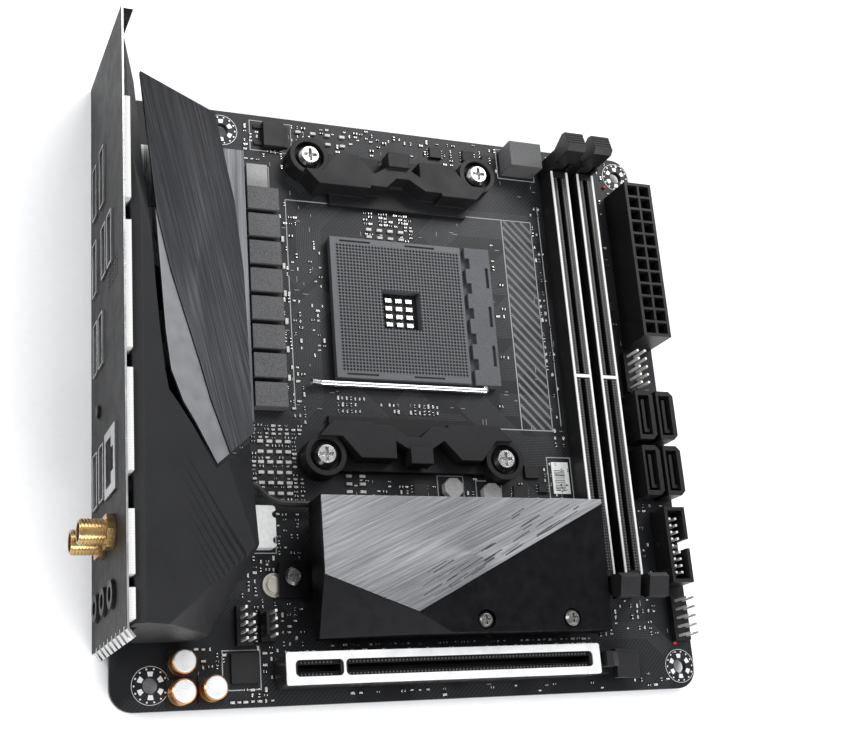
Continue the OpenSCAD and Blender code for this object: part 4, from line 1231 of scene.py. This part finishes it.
@dataclass
class Trim:
    """Small printed and stuck pieces that no joint or mount needs.

    Attributes:
        label_low: lower corner of the blank label.
        label_high: upper corner of the blank label.
        dashes: how many dark dashes lie along the storage plate's slanted edge.
    """

    label_low: Pair = (129.7, 57.2)
    label_high: Pair = (135.3, 66.8)
    dashes: int = 46

    def label(self, board: Board, palette: Palette) -> None:
        """A blank paper label with plain bars.

        Args:
            board: the board frame.
            palette: the finishes.
        """
        (x0, y0), (x1, y1) = self.label_low, self.label_high
        centre = np.array([[(x0 + x1) / 2, (y0 + y1) / 2, board.top + 0.05]])
        sheet = chamfered_blocks(centre, np.array([[x1 - x0, y1 - y0, 0.1]]), np.zeros(1), 0.02)
        place("blank_label", sheet, board, palette.label)
        rng = np.random.default_rng(5)
        ys = np.arange(y0 + 1.0, y1 - 2.4, 0.5)
        wide = rng.uniform(0.12, 0.3, len(ys))
        spot = np.column_stack([np.full(len(ys), x0 + 2.4), ys, np.full(len(ys), board.top + 0.13)])
        size = np.column_stack([np.full(len(ys), 3.4), wide, np.full(len(ys), 0.08)])
        bars = chamfered_blocks(spot, size, np.zeros(len(ys)), 0.005)
        place("label_bars", bars, board, palette.black)

    def storage_dashes(self, board: Board, palette: Palette) -> None:
        """Dark dashes that thin out away from the slanted edge of the storage plate.

        Args:
            board: the board frame.
            palette: the finishes.
        """
        low, high = (board.local(np.array(c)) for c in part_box("m2_plate"))
        start = np.array([low[0] + 25.2, low[1] + 0.9])
        end = np.array([high[0] - 0.8, low[1] + 29.4])
        way = (end - start) / np.linalg.norm(end - start)
        side = np.array([-way[1], way[0]])
        span = float(np.linalg.norm(end - start))
        rng = np.random.default_rng(23)
        shells = []
        for _ in range(self.dashes):
            away = 0.5 + 8.5 * rng.random() ** 2.2
            long = rng.uniform(2.0, 8.0)
            at = rng.uniform(2.0, span - long - 5.0)
            tail = start + way * at + side * away
            tip = tail + way * long + side * long * 0.04
            if tip[1] < high[1] - 0.8:
                wide = rng.uniform(0.16, 0.4)
                dash = ribbons([tuple(tail), tuple(tip)], np.zeros(1), wide, high[2] - 0.01, high[2] + 0.006)
                shells.append(dash)
        place("storage_dashes", joined(shells), board, palette.dash)

    def indicators(self, board: Board, palette: Palette) -> None:
        """Two unlit red indicator lenses.

        Args:
            board: the board frame.
            palette: the finishes.
        """
        spot = np.array([(164.2, 12.9, board.top + 0.3), (160.1, 159.6, board.top + 0.3)])
        size = np.tile([1.0, 0.7, 0.6], (2, 1))
        lenses = chamfered_blocks(spot, size, np.zeros(2), 0.1)
        place("indicator_lenses", lenses, board, palette.indicator)

    def build(self, board: Board, palette: Palette) -> None:
        """Makes every trim piece.

        Args:
            board: the board frame.
            palette: the finishes.
        """
        self.label(board, palette)
        self.storage_dashes(board, palette)
        self.indicators(board, palette)


# ---------- room ----------


@dataclass
class Studio:
    """Floor, lights and camera.

    Attributes:
        eye: camera place in metres.
        right: camera's right.
        down: camera's down.
        ahead: camera's view direction.
        lens: focal length for a 36 mm sensor.
    """

    eye: Triple = (-0.07378, -0.03600, 0.34924)
    right: Triple = (0.92028849, -0.07675538, 0.38363747)
    down: Triple = (0.05262456, -0.94737146, -0.31578154)
    ahead: Triple = (0.38768512, 0.31079887, -0.86781583)
    lens: float = 58.23

    def camera(self) -> None:
        """Makes the camera and gives it to the scene."""
        data = bpy.data.cameras.new("camera")
        data.lens, data.sensor_width = self.lens, 36.0
        data.clip_start, data.clip_end = 0.01, 20.0
        camera = bpy.data.objects.new("camera", data)
        bpy.context.scene.collection.objects.link(camera)
        turn = Matrix((Vector(self.right), -Vector(self.down), -Vector(self.ahead))).transposed()
        camera.matrix_world = Matrix.Translation(Vector(self.eye)) @ turn.to_4x4()
        bpy.context.scene.camera = camera

    def lamp(self, name: str, place_m: Triple, size: Pair, power: float, aim: Triple) -> None:
        """One soft rectangular lamp.

        Args:
            name: its name.
            place_m: its place in metres.
            size: its sides in metres.
            power: its power in watts.
            aim: the point it faces.
        """
        data = bpy.data.lights.new(name, "AREA")
        data.shape, data.size, data.size_y, data.energy = "RECTANGLE", size[0], size[1], power
        lamp = bpy.data.objects.new(name, data)
        lamp.location = place_m
        lamp.rotation_euler = (Vector(aim) - Vector(place_m)).to_track_quat("-Z", "Y").to_euler()
        bpy.context.scene.collection.objects.link(lamp)

    def floor(self) -> None:
        """A pale floor with a faint tooth, right under the lowest point."""
        z = CAD_BOX[0][2]
        mesh = bpy.data.meshes.new("floor")
        mesh.from_pydata([(-4, -4, z), (4, -4, z), (4, 4, z), (-4, 4, z)], [], [(0, 1, 2, 3)])
        piece = bpy.data.objects.new("floor", mesh)
        bpy.context.scene.collection.objects.link(piece)
        mesh.materials.append(Moulded("pale_floor", (0.97, 0.97, 0.97), 0.75, 2.0, 0.01, 0.0, 0.01).material())

    def build(self) -> None:
        """Makes the whole room."""
        self.camera()
        self.floor()
        world = bpy.data.worlds.new("room")
        world.use_nodes = True
        world.node_tree.nodes["Background"].inputs[0].default_value = (0.93, 0.95, 1.0, 1.0)
        world.node_tree.nodes["Background"].inputs[1].default_value = 0.62
        bpy.context.scene.world = world
        bpy.context.scene.view_settings.view_transform = "Standard"
        aim = (0.075, 0.075, 0.01)
        self.lamp("overhead", (0.45, 0.75, 0.75), (0.7, 0.5), 7.0, aim)
        self.lamp("side", (-0.9, 0.25, 0.75), (0.5, 0.8), 8.0, aim)
        self.lamp("front", (0.35, -0.8, 0.6), (0.8, 0.3), 9.0, aim)


def dress_nodes(palette: Palette) -> None:
    """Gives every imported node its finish.

    Args:
        palette: the finishes.
    """
    p = palette
    palette.dress(
        {
            "pcb": p.mask, "solder_joints": p.tin, "backplate_insulator": p.film, "cooler_backplate": p.painted,
            "socket_base": p.socket_base, "socket_cover": p.socket, "socket_lever": p.lever,
            "socket_capacitors": p.tin, "cooler_bracket_upper": p.bracket, "cooler_bracket_lower": p.bracket,
            "bracket_screws": p.screw, "vrm_heatsink": p.fins, "heatsink_plate": p.plate,
            "accent_plate": p.accent, "vrm_thermal_pad": p.pad, "vrm_mosfets": p.resin, "vrm_chokes": p.ferrite,
            "filter_inductors": p.pale_ferrite, "input_choke": p.ferrite, "input_mosfet": p.resin,
            "audio_capacitors": p.cans, "io_cover": p.charcoal, "io_shield": p.shield, "emi_gasket": p.gasket,
            "display_port_stack": p.steel, "usb_display_stack": p.steel, "usb_stack": p.steel,
            "lan_usb_stack": p.steel, "antenna_connectors": p.gold, "wifi_module": p.steel,
            "audio_jack_stack": p.black, "flash_button": p.latch, "flash_switch": p.black,
            "memory_slots": p.black, "memory_slot_rails": p.rail, "memory_latch_1": p.latch,
            "memory_latch_2": p.latch, "memory_latch_3": p.latch, "memory_latch_4": p.latch,
            "power_connector": p.black, "sata_ports": p.black, "usb3_header": p.black, "usb2_header": p.black,
            "panel_header": p.black, "audio_header": p.black, "fan_header": p.black, "connector_pins": p.pin,
            "expansion_slot": p.black, "expansion_slot_armour": p.armour, "expansion_slot_latch": p.latch,
            "m2_cover": p.anodised, "m2_plate": p.storage_plate, "m2_screws": p.dark_screw, "m2_socket": p.black,
            "m2_standoff": p.standoff, "control_chips": p.resin, "chipset_heatsink": p.anodised,
            "battery": p.sleeve, "battery_lead": p.lead, "ceramic_capacitors": p.ceramic,
        }
    )


def main() -> None:
    """Builds the room, the finishes and every added piece in order."""
    logging.basicConfig(level=logging.INFO, format="%(name)s: %(message)s")
    Studio().build()
    board = Board.from_frame()
    board.survey({"pcb", "solder_joints", "backplate_insulator", "cooler_backplate", "io_shield"}, board.top + 6.0)
    for x, y in CASE_HOLES:
        board.take(x, y, 11.4, 11.4)
    palette = Palette(board)
    dress_nodes(palette)
    printed = PrintedBoard()
    printed.hole_pads(board, palette.petal)
    LeadedChips().build(board, palette)
    SurfaceParts().build(board, palette)
    printed.traces(board, palette.copper)
    printed.ink(board, palette.ink, palette.hatch)
    SlotContacts().build(board, palette)
    Trim().build(board, palette)


if __name__ == "__main__":
    main()
